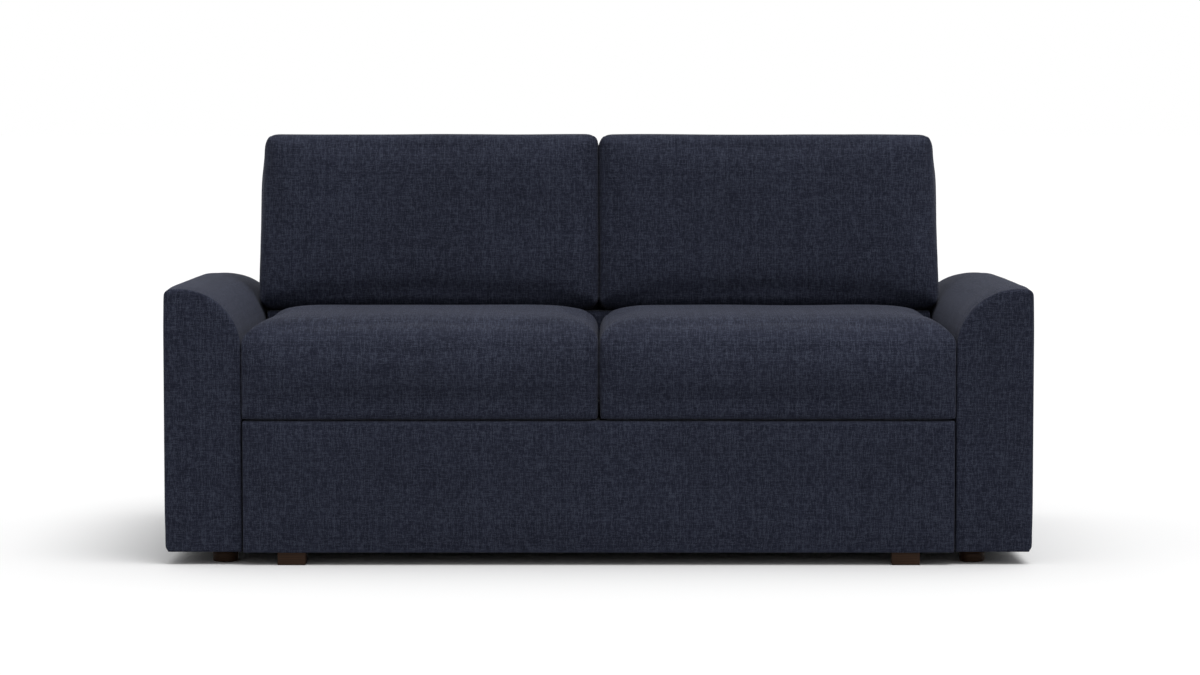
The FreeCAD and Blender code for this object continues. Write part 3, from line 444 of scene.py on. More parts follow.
def spread(low, high, cell, seams=(), edge=0.0, width=0.0025):
    """Grid lines between two places, closer together at each seam and round a small edge."""
    fixed = [low, high] + [s + d for s in seams for d in (-width, 0.0, width)]
    if edge:
        fixed += [end for f in (0.25, 0.5, 0.75, 1.0, 1.5) for end in (low + edge * f, high - edge * f)]
    fixed = sorted(fixed)
    fixed = [fixed[0]] + [b for a, b in zip(fixed, fixed[1:]) if b - a > 0.0004]
    lines = [low]
    for a, b in zip(fixed, fixed[1:]):
        count = max(1, round((b - a) / cell))
        lines += [a + (b - a) * n / count for n in range(1, count + 1)]
    return np.array(lines)


def box_grid(xs, ys, zs):
    """Closed shell of squares on the outside of a box: its lattice numbers, its corners and its faces."""
    sizes = (len(xs) - 1, len(ys) - 1, len(zs) - 1)
    numbers, lattice, faces = {}, [], []

    def at(i, j, k):
        key = (i, j, k)
        if key not in numbers:
            numbers[key] = len(lattice)
            lattice.append(key)
        return numbers[key]

    for side in range(3):
        u, v = (side + 1) % 3, (side + 2) % 3
        for end in (0, sizes[side]):
            for a in range(sizes[u]):
                for b in range(sizes[v]):
                    ring = []
                    for da, db in ((0, 0), (1, 0), (1, 1), (0, 1)):
                        key = [0, 0, 0]
                        key[side], key[u], key[v] = end, a + da, b + db
                        ring.append(at(*key))
                    faces.append(ring if end else ring[::-1])
    lattice = np.array(lattice)
    verts = np.stack([xs[lattice[:, 0]], ys[lattice[:, 1]], zs[lattice[:, 2]]], axis=1)
    return lattice, verts, faces


def rounded_gap(u, v, low, high, radii):
    """Distance outside a rectangle with four corner radii, from low-low round to low-high."""
    gap = np.maximum(np.maximum(low[0] - u, u - high[0]), np.maximum(low[1] - v, v - high[1]))
    for radius, (way_u, way_v) in zip(radii, ((-1, -1), (1, -1), (1, 1), (-1, 1))):
        past_u = way_u * u - (way_u * (high[0] if way_u > 0 else low[0]) - radius)
        past_v = way_v * v - (way_v * (high[1] if way_v > 0 else low[1]) - radius)
        corner = (past_u > 0) & (past_v > 0)
        gap = np.where(corner, np.maximum(gap, np.hypot(past_u, past_v) - radius), gap)
    return gap


def round_off(verts, low, high, front, side, plan):
    """Pulls the corners of a box grid in to where its front, side and plan outlines meet."""
    low, high = np.array(low), np.array(high)
    inset = 0.45 * (high - low).min()
    core = np.clip(verts, low + inset, high - inset)

    def outside(p):
        return np.maximum(np.maximum(
            rounded_gap(p[:, 0], p[:, 2], low[[0, 2]], high[[0, 2]], front),
            rounded_gap(p[:, 1], p[:, 2], low[[1, 2]], high[[1, 2]], side)),
            rounded_gap(p[:, 0], p[:, 1], low[[0, 1]], high[[0, 1]], plan))

    near, far = np.zeros(len(verts)), np.ones(len(verts))
    for _ in range(26):
        middle = (near + far) / 2
        inside = outside(core + (verts - core) * middle[:, None]) <= 0
        near, far = np.where(inside, middle, near), np.where(inside, far, middle)
    return core + (verts - core) * near[:, None]


def vectors_of(obj, title):
    values = np.zeros(len(obj.data.vertices) * 3)
    obj.data.vertices.foreach_get(title, values)
    return values.reshape(-1, 3)


def normals_of(obj):
    return vectors_of(obj, "normal")


def places_of(obj):
    return vectors_of(obj, "co")


def move_to(obj, places):
    obj.data.vertices.foreach_set("co", np.ascontiguousarray(places, dtype=np.float64).ravel())
    obj.data.update()


def uneven(places, size, depth, seed):
    """Smooth unevenness over a piece, from -depth to depth."""
    shift = Vector((seed * 3.7, seed * 1.9, seed * 5.3))
    return np.array([noise.noise(Vector(p) / size + shift) for p in places]) * depth


def eased(distance, reach):
    """0 at an edge and 1 beyond its reach, smooth between."""
    t = np.clip(distance / reach, 0, 1)
    return t * t * (3 - 2 * t)


def clear_of_ends(places, low, high, axis, reach):
    """0 at both ends of a box along an axis, and 1 beyond the reach from them."""
    return eased(places[:, axis] - low[axis], reach) * eased(high[axis] - places[:, axis], reach)


def soften_field(obj, field, rounds):
    """Averages a movement with its neighbours', so that firm filling leaves no sharp folds."""
    count = len(obj.data.edges) * 2
    ends = np.zeros(count, dtype=np.int64)
    obj.data.edges.foreach_get("vertices", ends)
    a, b = ends[0::2], ends[1::2]
    shared = np.bincount(ends, minlength=len(field))[:, None]
    for _ in range(rounds):
        total = np.zeros_like(field)
        np.add.at(total, a, field[b])
        np.add.at(total, b, field[a])
        field = 0.5 * field + 0.5 * total / shared
    return field


def swell(obj, pressure, cap):
    """Blows a cover up like its filling does, with Blender's cloth, and limits how far it may travel."""
    last_step, averaging, inward, slip = 20, 45, 0.002, 0.3
    scene = bpy.context.scene
    start, out = places_of(obj), normals_of(obj)
    cloth = obj.modifiers.new("filling", "CLOTH")
    for key, value in (
            ("quality", 5), ("mass", 0.35), ("tension_stiffness", 15.0), ("compression_stiffness", 15.0),
            ("shear_stiffness", 7.5), ("bending_stiffness", 2.0), ("use_pressure", True),
            ("uniform_pressure_force", pressure)):
        setattr(cloth.settings, key, value)
    cloth.settings.effector_weights.gravity = 0
    cloth.collision_settings.use_collision = False
    cloth.point_cache.frame_start = 1
    cloth.point_cache.frame_end = last_step
    for step in range(1, last_step + 1):
        scene.frame_set(step)
    end = places_of(obj.evaluated_get(bpy.context.evaluated_depsgraph_get()))
    obj.modifiers.clear()
    scene.frame_set(1)
    travel = soften_field(obj, end - start, averaging)
    length = np.maximum(np.linalg.norm(travel, axis=1, keepdims=True), 1e-9)
    travel = travel / length * cap * np.tanh(length / cap)
    rise = (travel * out).sum(axis=1, keepdims=True)
    slide = travel - out * rise
    move_to(obj, start + out * np.maximum(rise, -inward) + slide * slip)


def sink_seams(obj, chosen, depth):
    """Pulls the grid lines of the seams in, so that each seam lies in a narrow valley."""
    p, n = places_of(obj), normals_of(obj)
    move_to(obj, p - n * (chosen * depth)[:, None])


def loop_points(places, chosen, axis_u, axis_v):
    """Corners of one closed grid loop, in order round it."""
    ring = places[chosen]
    middle = ring.mean(axis=0)
    turn = np.arctan2(ring[:, axis_v] - middle[axis_v], ring[:, axis_u] - middle[axis_u])
    return ring[np.argsort(turn)]


# Repeats
def instance_tree():
    """Geometry Nodes: one template on every point, turned to that point's two directions."""
    tree = bpy.data.node_groups.new("set_on_points", "GeometryNodeTree")
    for title, kind in (
            ("Points", "Geometry"), ("Template", "Object"), ("Finish", "Material"), ("Size", "Float")):
        tree.interface.new_socket(title, in_out="INPUT", socket_type=f"NodeSocket{kind}")
    tree.interface.new_socket("Pieces", in_out="OUTPUT", socket_type="NodeSocketGeometry")
    g = Graph(tree)
    given = g.node("NodeGroupInput").outputs
    out, run = (g.fill(g.node("GeometryNodeInputNamedAttribute", data_type="FLOAT_VECTOR"), Name=title)[0]
                for title in ("out", "run"))
    turn = g.row(g.node("FunctionNodeAxesToRotation", primary_axis="Z", secondary_axis="X"), out, run)
    template = g.fill(g.node("GeometryNodeObjectInfo"), Object=given["Template"])["Geometry"]
    placed = g.fill(g.node("GeometryNodeInstanceOnPoints"), Points=given["Points"], Instance=template,
                    Rotation=turn, Scale=given["Size"])
    real = g.row(g.node("GeometryNodeRealizeInstances"), placed[0])
    finish = g.fill(g.node("GeometryNodeSetMaterial"), Geometry=real, Material=given["Finish"])
    g.feed(g.node("NodeGroupOutput").inputs[0], finish[0])
    return tree


SET_ON_POINTS = instance_tree()


def repeated(name, template, points, outs, runs, finish, size=1.0):
    """A copy of a template at each point. Its Z looks out and its X along the run."""
    mesh = bpy.data.meshes.new(name)
    mesh.from_pydata([tuple(p) for p in points], [], [])
    for title, values in (("out", outs), ("run", runs)):
        attribute = mesh.attributes.new(title, "FLOAT_VECTOR", "POINT")
        attribute.data.foreach_set("vector", np.array(values, dtype=float).ravel())
    obj = in_scene(name, mesh)
    modifier = obj.modifiers.new("repeat", "NODES")
    modifier.node_group = SET_ON_POINTS
    settings = {"Template": template, "Finish": MATERIALS[finish], "Size": float(size)}
    for item in SET_ON_POINTS.interface.items_tree:
        if item.name in settings:
            modifier[item.identifier] = settings[item.name]
    plain_mesh(obj)
    smooth(obj.data)
    return obj


def lathe(name, profile, finish, turns):
    """Closed turned shape about Z from (radius, height) pairs that start and end on the axis."""
    verts, faces, rings = [], [], []
    angles = [2 * math.pi * t / turns for t in range(turns)]
    for radius, height in profile:
        ring = angles if radius else [0]
        rings.append(range(len(verts), len(verts) + len(ring)))
        verts += [(radius * math.cos(a), radius * math.sin(a), height) for a in ring]
    for low, high in zip(rings, rings[1:]):
        for t in range(turns):
            u = t + 1
            ring = (low[t % len(low)], low[u % len(low)], high[u % len(high)], high[t % len(high)])
            face = list(dict.fromkeys(ring))
            if len(face) > 2:
                faces.append(face)
    return new_piece(name, verts, faces, finish)


TEMPLATES = []


def template_of(obj):
    """Keeps a form that is only copied, so that it can be taken out at the end."""
    TEMPLATES.append(obj)
    return obj


STITCH = template_of(lathe("stitch_form", [
    (0, -1.7e-3), (2.8e-4, -1.4e-3), (4.0e-4, 0), (2.8e-4, 1.4e-3), (0, 1.7e-3)], "seam_thread", 5))
RIVET = template_of(lathe("rivet_form", [
    (0, -1e-3), (6.4e-3, -1e-3), (6.6e-3, 0), (6.3e-3, 0.9e-3), (5.2e-3, 1.9e-3), (3.2e-3, 2.6e-3),
    (1.2e-3, 2.9e-3), (0, 2.95e-3)], "zinc_steel", 20))
WASHER = template_of(lathe("washer_form", [
    (0, -0.4e-3), (8.6e-3, -0.4e-3), (8.8e-3, 0), (8.6e-3, 0.4e-3), (0, 0.45e-3)], "zinc_steel", 24))
STITCH_PITCH = 0.0045
# A stitch is turned about Z, then laid down along X, its run
STITCH.data.transform(Matrix.Rotation(math.pi / 2, 4, "Y"))


def lengths_along(path):
    return np.concatenate([[0], np.cumsum(np.linalg.norm(np.diff(path, axis=0), axis=1))])


def at_lengths(where, lengths, path):
    return np.stack([np.interp(where, lengths, path[:, n]) for n in range(3)], axis=1)


def unit(vectors):
    return vectors / np.maximum(np.linalg.norm(vectors, axis=1, keepdims=True), 1e-9)


def stitch_ring(name, path, inset, body):
    """Closed row of thread stitches, each lying on the cloth."""
    ring = np.vstack([path, path[:1]])
    lengths = lengths_along(ring)
    whole = lengths[-1]
    count = int(whole / STITCH_PITCH)
    where = (np.arange(count) + 0.5) * whole / count
    places = at_lengths(where, lengths, ring)
    along = unit(at_lengths(np.minimum(where + 1e-3, whole), lengths, ring) - places)
    out = places - ring.mean(axis=0)
    out = unit(out - along * (out * along).sum(axis=1, keepdims=True))
    row = repeated(name, STITCH, places - out * inset, out, along, "seam_thread")
    dress(row, body, "sofa_fabric")


def stitch_line(name, path, out, body):
    """Open row of thread stitches on a flat side."""
    lengths = lengths_along(path)
    places = at_lengths(np.arange(STITCH_PITCH, lengths[-1] - STITCH_PITCH, STITCH_PITCH), lengths, path)
    along = unit(np.gradient(places, axis=0))
    row = repeated(name, STITCH, places, [out] * len(places), along, "seam_thread")
    dress(row, body, "sofa_fabric")


# Padded pieces
def padded_form(name, low, high, front, side, plan, cell,
                seams=((), (), ()), finish="sofa_linen", edges=(0, 0, 0)):
    """Shell of a stuffed piece between two corners, rounded from three sides, its lattice and its lines."""
    low, high = np.array(low, float), np.array(high, float)
    lines = [spread(low[n], high[n], cell, seams[n], edges[n]) for n in range(3)]
    lattice, verts, faces = box_grid(*lines)
    return new_piece(name, round_off(verts, low, high, front, side, plan), faces, finish), lattice, lines


def soft_cover(obj, body, node):
    """Smooths a stuffed cover and puts it in its node's place."""
    subdivided(obj)
    dress(obj, body, "sofa_fabric", node)


def on_line(lattice, lines, axis, place):
    """Which grid corners lie on the line at a place along an axis."""
    return lattice[:, axis] == int(np.argmin(np.abs(lines[axis] - place)))


def node_box(name):
    low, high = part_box(name)
    return np.array(low), np.array(high)


def flat_underside(obj, base):
    """Draws a cover flat and tight under the frame that it is stapled to."""
    near, below = 0.0025, 0.0009
    p = places_of(obj)
    p[:, 2] = np.where(p[:, 2] < base + near, base - below, p[:, 2])
    move_to(obj, p)


def core(cover, name, slot, depth, fill):
    """Foam or fibre inside a cover: the cover's own form, a little smaller all round."""
    mesh = cover.data.copy()
    obj = in_scene(f"{name}_core", mesh)
    mesh.materials.clear()
    mesh.materials.append(MATERIALS[slot])
    move_to(obj, places_of(obj) - normals_of(obj) * depth)
    dress(obj, name, slot, f"{name}_{slot.split('_')[1]}")


def fit_between(places, axis, low, high):
    """Stretches a form along one axis, so that it reaches from low to high."""
    own_low, own_high = places[:, axis].min(), places[:, axis].max()
    places[:, axis] = low + (places[:, axis] - own_low) * (high - low) / (own_high - own_low)


# How each kind of cushion moved as it was filled, at each place of its lattice
FILLED = {}
ARM_ROLL = 0.130
SEAM_DEPTH = 0.0018
RECLINE = math.radians(12)


def filled(kind, obj, lattice, lines, pressure, cap):
    """Fills a kind of cover once, and gives the other side's cover the same form mirrored."""
    if kind in FILLED:
        last = len(lines[0]) - 1
        moved = np.array([FILLED[kind][(last - i, j, k)] for i, j, k in lattice.tolist()])
        move_to(obj, places_of(obj) + moved * np.array([-1, 1, 1]))
        return
    before = places_of(obj)
    swell(obj, pressure, cap)
    FILLED[kind] = dict(zip(map(tuple, lattice.tolist()), places_of(obj) - before))


def arm_side(heights):
    """How far from the middle a cushion may reach at each height before it meets the rolled arm."""
    press, free = 0.0012, 1.0
    low, high = node_box("right_arm_cover")
    up = np.clip(heights - (high[2] - ARM_ROLL), 0, ARM_ROLL)
    away = ARM_ROLL - np.sqrt(ARM_ROLL ** 2 - up ** 2)
    return np.where(heights > high[2] - 0.002, free, low[0] + away - press)


def finish_cushion(obj, name, slot, lattice, lines, ends, fill):
    """Seams, core, subdivision and stitches of one loose cushion."""
    loops = [on_line(lattice, lines, 0, end) for end in ends]
    sink_seams(obj, loops[0] | loops[1], SEAM_DEPTH)
    paths = [loop_points(places_of(obj), loop, 1, 2) for loop in loops]
    core(obj, name, slot, 0.006, fill)
    soft_cover(obj, name, f"{name}_cover")
    for n, path in enumerate(paths):
        stitch_ring(f"{name}_seam_{n}", path, 0.0003, name)


def mirrored(side, inner, outer):
    """A pair of values for the low and high end of X on either side."""
    return (inner, outer) if side == "right" else (outer, inner)


def span(side, inner, outer):
    """Low and high X between two distances from the middle of the sofa."""
    return (inner, outer) if side == "right" else (-outer, -inner)


def corners(side, a, b, c, d):
    """Radii of the right side's corners, low-low round to low-high, and their mirror for the left."""
    return (a, b, c, d) if side == "right" else (b, a, d, c)


def seat_cushion(side):
    """Firm seat cushion with a waterfall front and an end panel each side."""
    name = f"{side}_seat_cushion"
    cad_low, cad_high = node_box(f"{name}_cover")
    gap = mirrored(side, 0.0008, 0.0025)
    low = cad_low + [gap[0], 0.006, 0.0]
    high = cad_high - [gap[1], 0.003, 0.001]
    seam_in, waterfall = 0.010, 0.074
    ends = (low[0] + seam_in, high[0] - seam_in)
    obj, lattice, lines = padded_form(
        name, low, high, corners(side, 0.008, 0.010, 0.062, 0.044), (0.014, 0.018, 0.030, waterfall),
        (0.022,) * 4, 0.0085, (ends, (), ()))
    filled("seat", obj, lattice, lines, 1.9, 0.0165)
    p = places_of(obj)
    p += normals_of(obj) * uneven(p, 0.14, 0.0012, 1.0 if side == "right" else 2.0)[:, None]
    fit_between(p, 0, *span(side, -0.0130, 0.7690))
    p[:, 0] = np.clip(p[:, 0], *span(side, 0.0001, arm_side(p[:, 2])))
    p[:, 1] = np.clip(p[:, 1], cad_low[1] - 0.012, cad_high[1] + 0.0005)
    p[:, 2] = np.clip(p[:, 2], cad_low[2] + 0.0003, cad_high[2] + 0.016)
    move_to(obj, p)
    finish_cushion(obj, name, "cushion_foam", lattice, lines, ends, 0.9)


def back_cushion(side):
    """Thick back cushion, made upright, then leant on the back and set on the deck."""
    name = f"{side}_back_cushion"
    cad_low, cad_high = node_box(f"{name}_cover")
    way = 1 if side == "right" else -1
    depth, height, sink, top = 0.195, 0.410, 0.018, 0.9060
    deck = cad_low[2]
    behind = sink * math.tan(RECLINE) + depth / 2 / math.cos(RECLINE) + 0.0003
    pivot = Vector((0, node_box("back_cover")[0][1] - behind, deck - sink))
    gap = mirrored(side, 0.0008, 0.001)
    low = np.array([cad_low[0] + gap[0], -depth / 2 + 0.007, 0.004])
    high = np.array([cad_high[0] - gap[1], depth / 2 - 0.004, height - 0.003])
    seam_in = 0.011
    ends = (low[0] + seam_in, high[0] - seam_in)
    obj, lattice, lines = padded_form(
        name, low, high, (0.034, 0.034, 0.036, 0.036), (0.036, 0.040, 0.034, 0.034), (0.032,) * 4, 0.0085,
        (ends, (), ()))
    filled("back", obj, lattice, lines, 1.6, 0.012)
    p = places_of(obj)
    p += normals_of(obj) * uneven(p, 0.16, 0.0014, 3.0 if side == "right" else 4.0)[:, None]
    fit_between(p, 0, *span(side, -0.0130, 0.7850))
    fit_between(p, 2, 0.0, height + 0.003)
    p[:, 0] *= 1 - 0.012 * np.clip((p[:, 2] - 0.04) / 0.34, 0, 1)
    p[:, 1] = np.clip(p[:, 1], -depth / 2 - 0.006, depth / 2)
    p[:, 2] = np.clip(p[:, 2], -0.002, height + 0.004)
    move_to(obj, p)
    obj.data.transform(Matrix.Translation(pivot) @ Matrix.Rotation(-RECLINE, 4, "X"))
    obj.data.update()
    p = places_of(obj)
    p[:, 2] = deck + (p[:, 2] - deck) * (top - deck) / (p[:, 2].max() - deck)
    reach = np.minimum(arm_side(p[:, 2]), 0.7735)
    # The two cushions share one slow wave where they touch, so that no light shows between them
    touch = 0.0016 * np.sin((p[:, 1] - 0.2) * 2 * math.pi / 0.11) * way + 0.0001
    p[:, 0] = np.clip(p[:, 0], *span(side, touch, reach))
    p[:, 2] = np.maximum(p[:, 2], deck)
    seat_rear = node_box(f"{side}_seat_cushion_cover")[1][1] + 0.0012
    p[:, 1] = np.where(p[:, 2] < deck + 0.03, np.maximum(p[:, 1], seat_rear), p[:, 1])
    move_to(obj, p)
    finish_cushion(obj, name, "cushion_fill", lattice, lines, ends, 0.8)


def arm(side):
    """Padded arm: a roll over the top into a flat inner face, with a sewn front panel."""
    name = f"{side}_arm"
    way = 1 if side == "right" else -1
    grow = np.array([0.0012 * way, 0, 0])
    low, high = node_box(f"{name}_cover")
    low, high = (low, high + grow) if way > 0 else (low + grow, high)
    seam = low[1] + 0.0065
    obj, lattice, lines = padded_form(
        f"{name}_cover_cloth", low, high, corners(side, 0.005, 0.014, 0.018, ARM_ROLL),
        (0.003, 0.010, 0.014, 0.010), corners(side, 0.005, 0.009, 0.010, 0.010), 0.0125, ((), (seam,), ()),
        edges=(0.009, 0.010, 0.010))
    p, n = places_of(obj), normals_of(obj)
    share = clear_of_ends(p, low, high, 1, 0.08)
    tall = eased(p[:, 2] - low[2], 0.10) * eased(high[2] - p[:, 2] + 0.02, 0.12)
    outward, forward, upward = (np.clip(part, 0, 1) for part in (n[:, 0] * way, -n[:, 1], n[:, 2]))
    bulge = 0.004 * outward * share * tall + 0.003 * upward * share + 0.0035 * forward * tall
    p += n * (bulge + uneven(p, 0.16, 0.0012, 5.0 if way > 0 else 6.0) * share)[:, None]
    # The roll droops towards its rear end
    p[:, 2] -= 0.009 * eased(p[:, 1] - 0.16, 0.33) * np.clip((p[:, 2] - 0.30) / 0.28, 0, 1)
    p[:, 0] = np.clip(p[:, 0], *span(side, low[0] if way > 0 else -high[0], 2))
    move_to(obj, p)
    flat_underside(obj, low[2])
    loop = on_line(lattice, lines, 1, seam)
    sink_seams(obj, loop & (lattice[:, 2] > 0), SEAM_DEPTH)
    ring = loop_points(places_of(obj), loop, 0, 2)
    soft_cover(obj, "sofa_base", f"{name}_cover")
    stitch_ring(f"{name}_front_seam", ring, 0.0001, "sofa_base")


def sofa_back():
    """Outside back: upright at the rear, leaning in front above the deck, sewn from three panels."""
    low, high = node_box("back_cover")
    _, (_, foot, deck) = node_box("rear_deck_cover")
    seams_x = (-0.42, 0.42)
    seam_z = high[2] - 0.022
    obj, lattice, lines = padded_form(
        "back_cover_cloth", [low[0], foot, low[2]], high, (0.010, 0.010, 0.014, 0.014),
        (0.004, 0.010, 0.020, 0.020), (0.003, 0.003, 0.012, 0.012), 0.017, (seams_x, (), (deck, seam_z)),
        edges=(0.010, 0.014, 0.012))
    p = places_of(obj)
    start = low[1] + (p[:, 2] - deck) * math.tan(RECLINE)
    share = (high[1] - p[:, 1]) / (high[1] - foot)
    p[:, 1] = np.where(p[:, 2] > deck - 1e-4, high[1] - share * (high[1] - start), p[:, 1])
    move_to(obj, p)
    n = normals_of(obj)
    wide, tall = (clear_of_ends(p, low, high, axis, 0.10) for axis in (0, 2))
    rear = np.clip(n[:, 1], 0, 1)
    top = np.clip(n[:, 2], 0, 1) * (p[:, 2] > high[2] - 0.05)
    bulge = 0.004 * rear * wide * tall + 0.004 * top * wide
    p += n * (bulge + uneven(p, 0.2, 0.0013, 7.0) * (rear + top))[:, None]
    move_to(obj, p)
    rear_side = lattice[:, 1] == lattice[:, 1].max()
    below = rear_side & (lines[2][lattice[:, 2]] < seam_z)
    columns = [on_line(lattice, lines, 0, x) & below for x in seams_x]
    row = on_line(lattice, lines, 2, seam_z) & rear_side
    sink_seams(obj, columns[0] | columns[1] | row, 0.0022)
    p = places_of(obj)
    paths = [p[seam][np.argsort(p[seam, axis])] for seam, axis in zip((*columns, row), (2, 2, 0))]
    soft_cover(obj, "sofa_base", "back_cover")
    for number, path in enumerate(paths):
        stitch_line(f"back_seam_{number}", path, (0, 1, 0), "sofa_base")


def rear_deck():
    low, high = node_box("rear_deck_cover")
    obj, _, _ = padded_form(
        "rear_deck_cloth", low, high, (0.003, 0.003, 0.004, 0.004), (0.006, 0.003, 0.003, 0.014),
        (0.004,) * 4, 0.018, edges=(0.004, 0.012, 0.012))
    p, n = places_of(obj), normals_of(obj)
    move_to(obj, p + n * (uneven(p, 0.12, 0.0012, 8.0) * np.clip(-n[:, 1], 0, 1))[:, None])
    soft_cover(obj, "sofa_base", "rear_deck_cover")


def front_panel():
    """Wrapped panel under the seat, which goes out with the bed as its foot end."""
    low, high = node_box("front_panel_cover")
    finer_below_top = high[2] - 0.012
    obj, _, _ = padded_form(
        "front_panel_cloth", low, high, (0.004,) * 4, (0.003, 0.003, 0.003, 0.010),
        (0.005, 0.005, 0.003, 0.003), 0.0105, ((), (), (finer_below_top,)), edges=(0.006, 0.009, 0.009))
    p, n = places_of(obj), normals_of(obj)
    wide, tall = clear_of_ends(p, low, high, 0, 0.06), clear_of_ends(p, low, high, 2, 0.05)
    forward = np.clip(-n[:, 1], 0, 1)
    move_to(obj, p + n * (forward * wide * tall * (0.0045 + uneven(p, 0.16, 0.0012, 9.0)))[:, None])
    flat_underside(obj, low[2])
    soft_cover(obj, "foot_section", "front_panel_cover")


def mattress(section):
    """Foam mattress section in a quilted cover with a taped edge top and bottom."""
    name, body = f"{section}_mattress", f"{section}_section"
    quilt, line_width, line_depth, border = 0.115, 0.013, 0.0048, 0.02
    low, high = node_box(name)
    slack = np.array([0.001, 0.001, 0.0008])
    obj, _, _ = padded_form(
        f"{name}_cover", low + slack, high - slack, (0.014,) * 4, (0.014,) * 4, (0.016,) * 4, 0.0115,
        finish="mattress_ticking", edges=(0.013,) * 3)
    p, n = places_of(obj), normals_of(obj)
    inside = np.abs(n[:, 2]) > 0.9
    for axis in (0, 1):
        inside = inside * clear_of_ends(p, low + border, high - border, axis, 0.05)
    dip = np.zeros(len(p))
    for way in (1, -1):
        across = (p[:, 0] + way * p[:, 1]) / math.sqrt(2)
        gap = np.abs((across / quilt + 0.5) % 1 - 0.5) * quilt
        dip = np.maximum(dip, np.exp(-(gap / line_width) ** 2))
    p[:, 2] -= np.sign(n[:, 2]) * inside * dip * line_depth
    move_to(obj, p)
    subdivided(obj)
    tapes = [edge_tape(low, high, z) for z in (low[2] + 0.006, high[2] - 0.006)]
    dress(obj, body, "mattress_ticking", name)
    dress(joined(f"{name}_tape", tapes), body, "mattress_ticking")


def edge_tape(low, high, z):
    """Bound edge that runs round a mattress, a quarter circle at each corner."""
    inset, corner, turns = 0.0030, 0.016, 6
    path = []
    for quarter, (way_x, way_y) in enumerate(((1, 1), (-1, 1), (-1, -1), (1, -1))):
        x = high[0] - inset - corner if way_x > 0 else low[0] + inset + corner
        y = high[1] - inset - corner if way_y > 0 else low[1] + inset + corner
        for t in range(turns + 1):
            a = math.pi / 2 * (quarter + t / turns)
            path.append((x + corner * math.cos(a), y + corner * math.sin(a), z))
    return tube_along("tape", path, 0.0022, "border_tape", 8, closed=True)


def tube_along(name, path, radius, finish, sides, closed=False):
    """Round tube along a path of points, capped where it is open."""
    path = [Vector(p) for p in path]
    count = len(path)
    verts, faces = [], []
    for n, p in enumerate(path):
        before = path[n - 1] if closed or n else p
        after = path[(n + 1) % count] if closed or n < count - 1 else p
        along = (after - before).normalized()
        hint = Vector((0, 0, 1)) if abs(along.z) < 0.9 else Vector((1, 0, 0))
        a = along.cross(hint).normalized()
        b = a.cross(along).normalized()
        for s in range(sides):
            t = 2 * math.pi * s / sides
            verts.append(p + a * (radius * math.cos(t)) + b * (radius * math.sin(t)))
    for n in range(count if closed else count - 1):
        m = (n + 1) % count
        for s in range(sides):
            t = (s + 1) % sides
            faces.append((n * sides + s, m * sides + s, m * sides + t, n * sides + t))
    if not closed:
        faces += [tuple(range(sides)), tuple(reversed(range((count - 1) * sides, count * sides)))]
    obj = new_piece(name, verts, faces, finish)
    build = bmesh.new()
    build.from_mesh(obj.data)
    bmesh.ops.recalc_face_normals(build, faces=build.faces)
    build.to_mesh(obj.data)
    build.free()
    return obj


# Hard pieces
def bar(low, high, edge, finish):
    """Straight board or tube between two corners, with rounded edges."""
    low, high = Vector(low), Vector(high)
    build = bmesh.new()
    place = Matrix.Translation((low + high) / 2) @ Matrix.Diagonal((*(high - low), 1))
    bmesh.ops.create_cube(build, size=1.0, matrix=place)
    bmesh.ops.bevel(
        build, geom=build.edges[:], offset=edge, segments=2, profile=0.5, affect="EDGES", clamp_overlap=True)
    mesh = bpy.data.meshes.new("bar")
    build.to_mesh(mesh)
    build.free()
    smooth(mesh)
    mesh.materials.append(MATERIALS[finish])
    obj = in_scene("bar", mesh)
    obj.modifiers.new("even", "WEIGHTED_NORMAL").keep_sharp = False
    return plain_mesh(obj)


def softened(node, edge, finish, segments=2):
    """Copy of a rigid CAD node with its sharp edges eased."""
    mesh = frame["nodes"][node].data.copy()
    build = bmesh.new()
    build.from_mesh(mesh)
    bmesh.ops.remove_doubles(build, verts=build.verts, dist=1e-6)
    bmesh.ops.dissolve_limit(build, angle_limit=math.radians(1.0), verts=build.verts, edges=build.edges)
    build.to_mesh(mesh)
    build.free()
    smooth(mesh)
    mesh.materials.clear()
    mesh.materials.append(MATERIALS[finish])
    obj = in_scene(f"{node}_finished", mesh)
    ease = obj.modifiers.new("ease", "BEVEL")
    ease.width = edge
    ease.segments = segments
    ease.limit_method = "ANGLE"
    ease.angle_limit = math.radians(34.0)
    ease.harden_normals = True
    plain_mesh(obj)
    body = next(b for b, nodes in frame["record"]["behaviour"]["bodies"].items() if node in nodes)
    dress(obj, body, NODE_SLOTS[node], node)


TUBE = 0.018


def steel_frame(section, slats):
    """Welded square-tube frame of one bed section, with weld beads at its joints."""
    low, high = node_box(f"{section}_frame")
    cloth_low, cloth_high = node_box(f"{section}_cloth")
    slat_low, slat_high = (cloth_high[2], high[2]) if section == "middle" else (low[2], cloth_low[2])
    edge, short = 0.0028, 0.002
    inside, near, far = high[0] - TUBE, low[1], high[1]
    sides = ((inside, near, high[0], far), (-high[0], near, -inside, far),
             (-inside, near, inside, near + TUBE), (-inside, far - TUBE, inside, far))
    bars = [bar((x0, y0, low[2]), (x1, y1, high[2]), edge, "black_steel") for x0, y0, x1, y1 in sides]
    bars += [bar((-inside, y, slat_low), (inside, y + TUBE, slat_high), edge, "black_steel") for y in slats]
    for y in [near, far - TUBE, *slats]:
        for way in (-1, 1):
            bars.append(weld(way * inside, y + short, y + TUBE - short, slat_low + 0.001, way))
    dress(joined(f"{section}_frame_tubes", bars), f"{section}_section", "black_steel", f"{section}_frame")


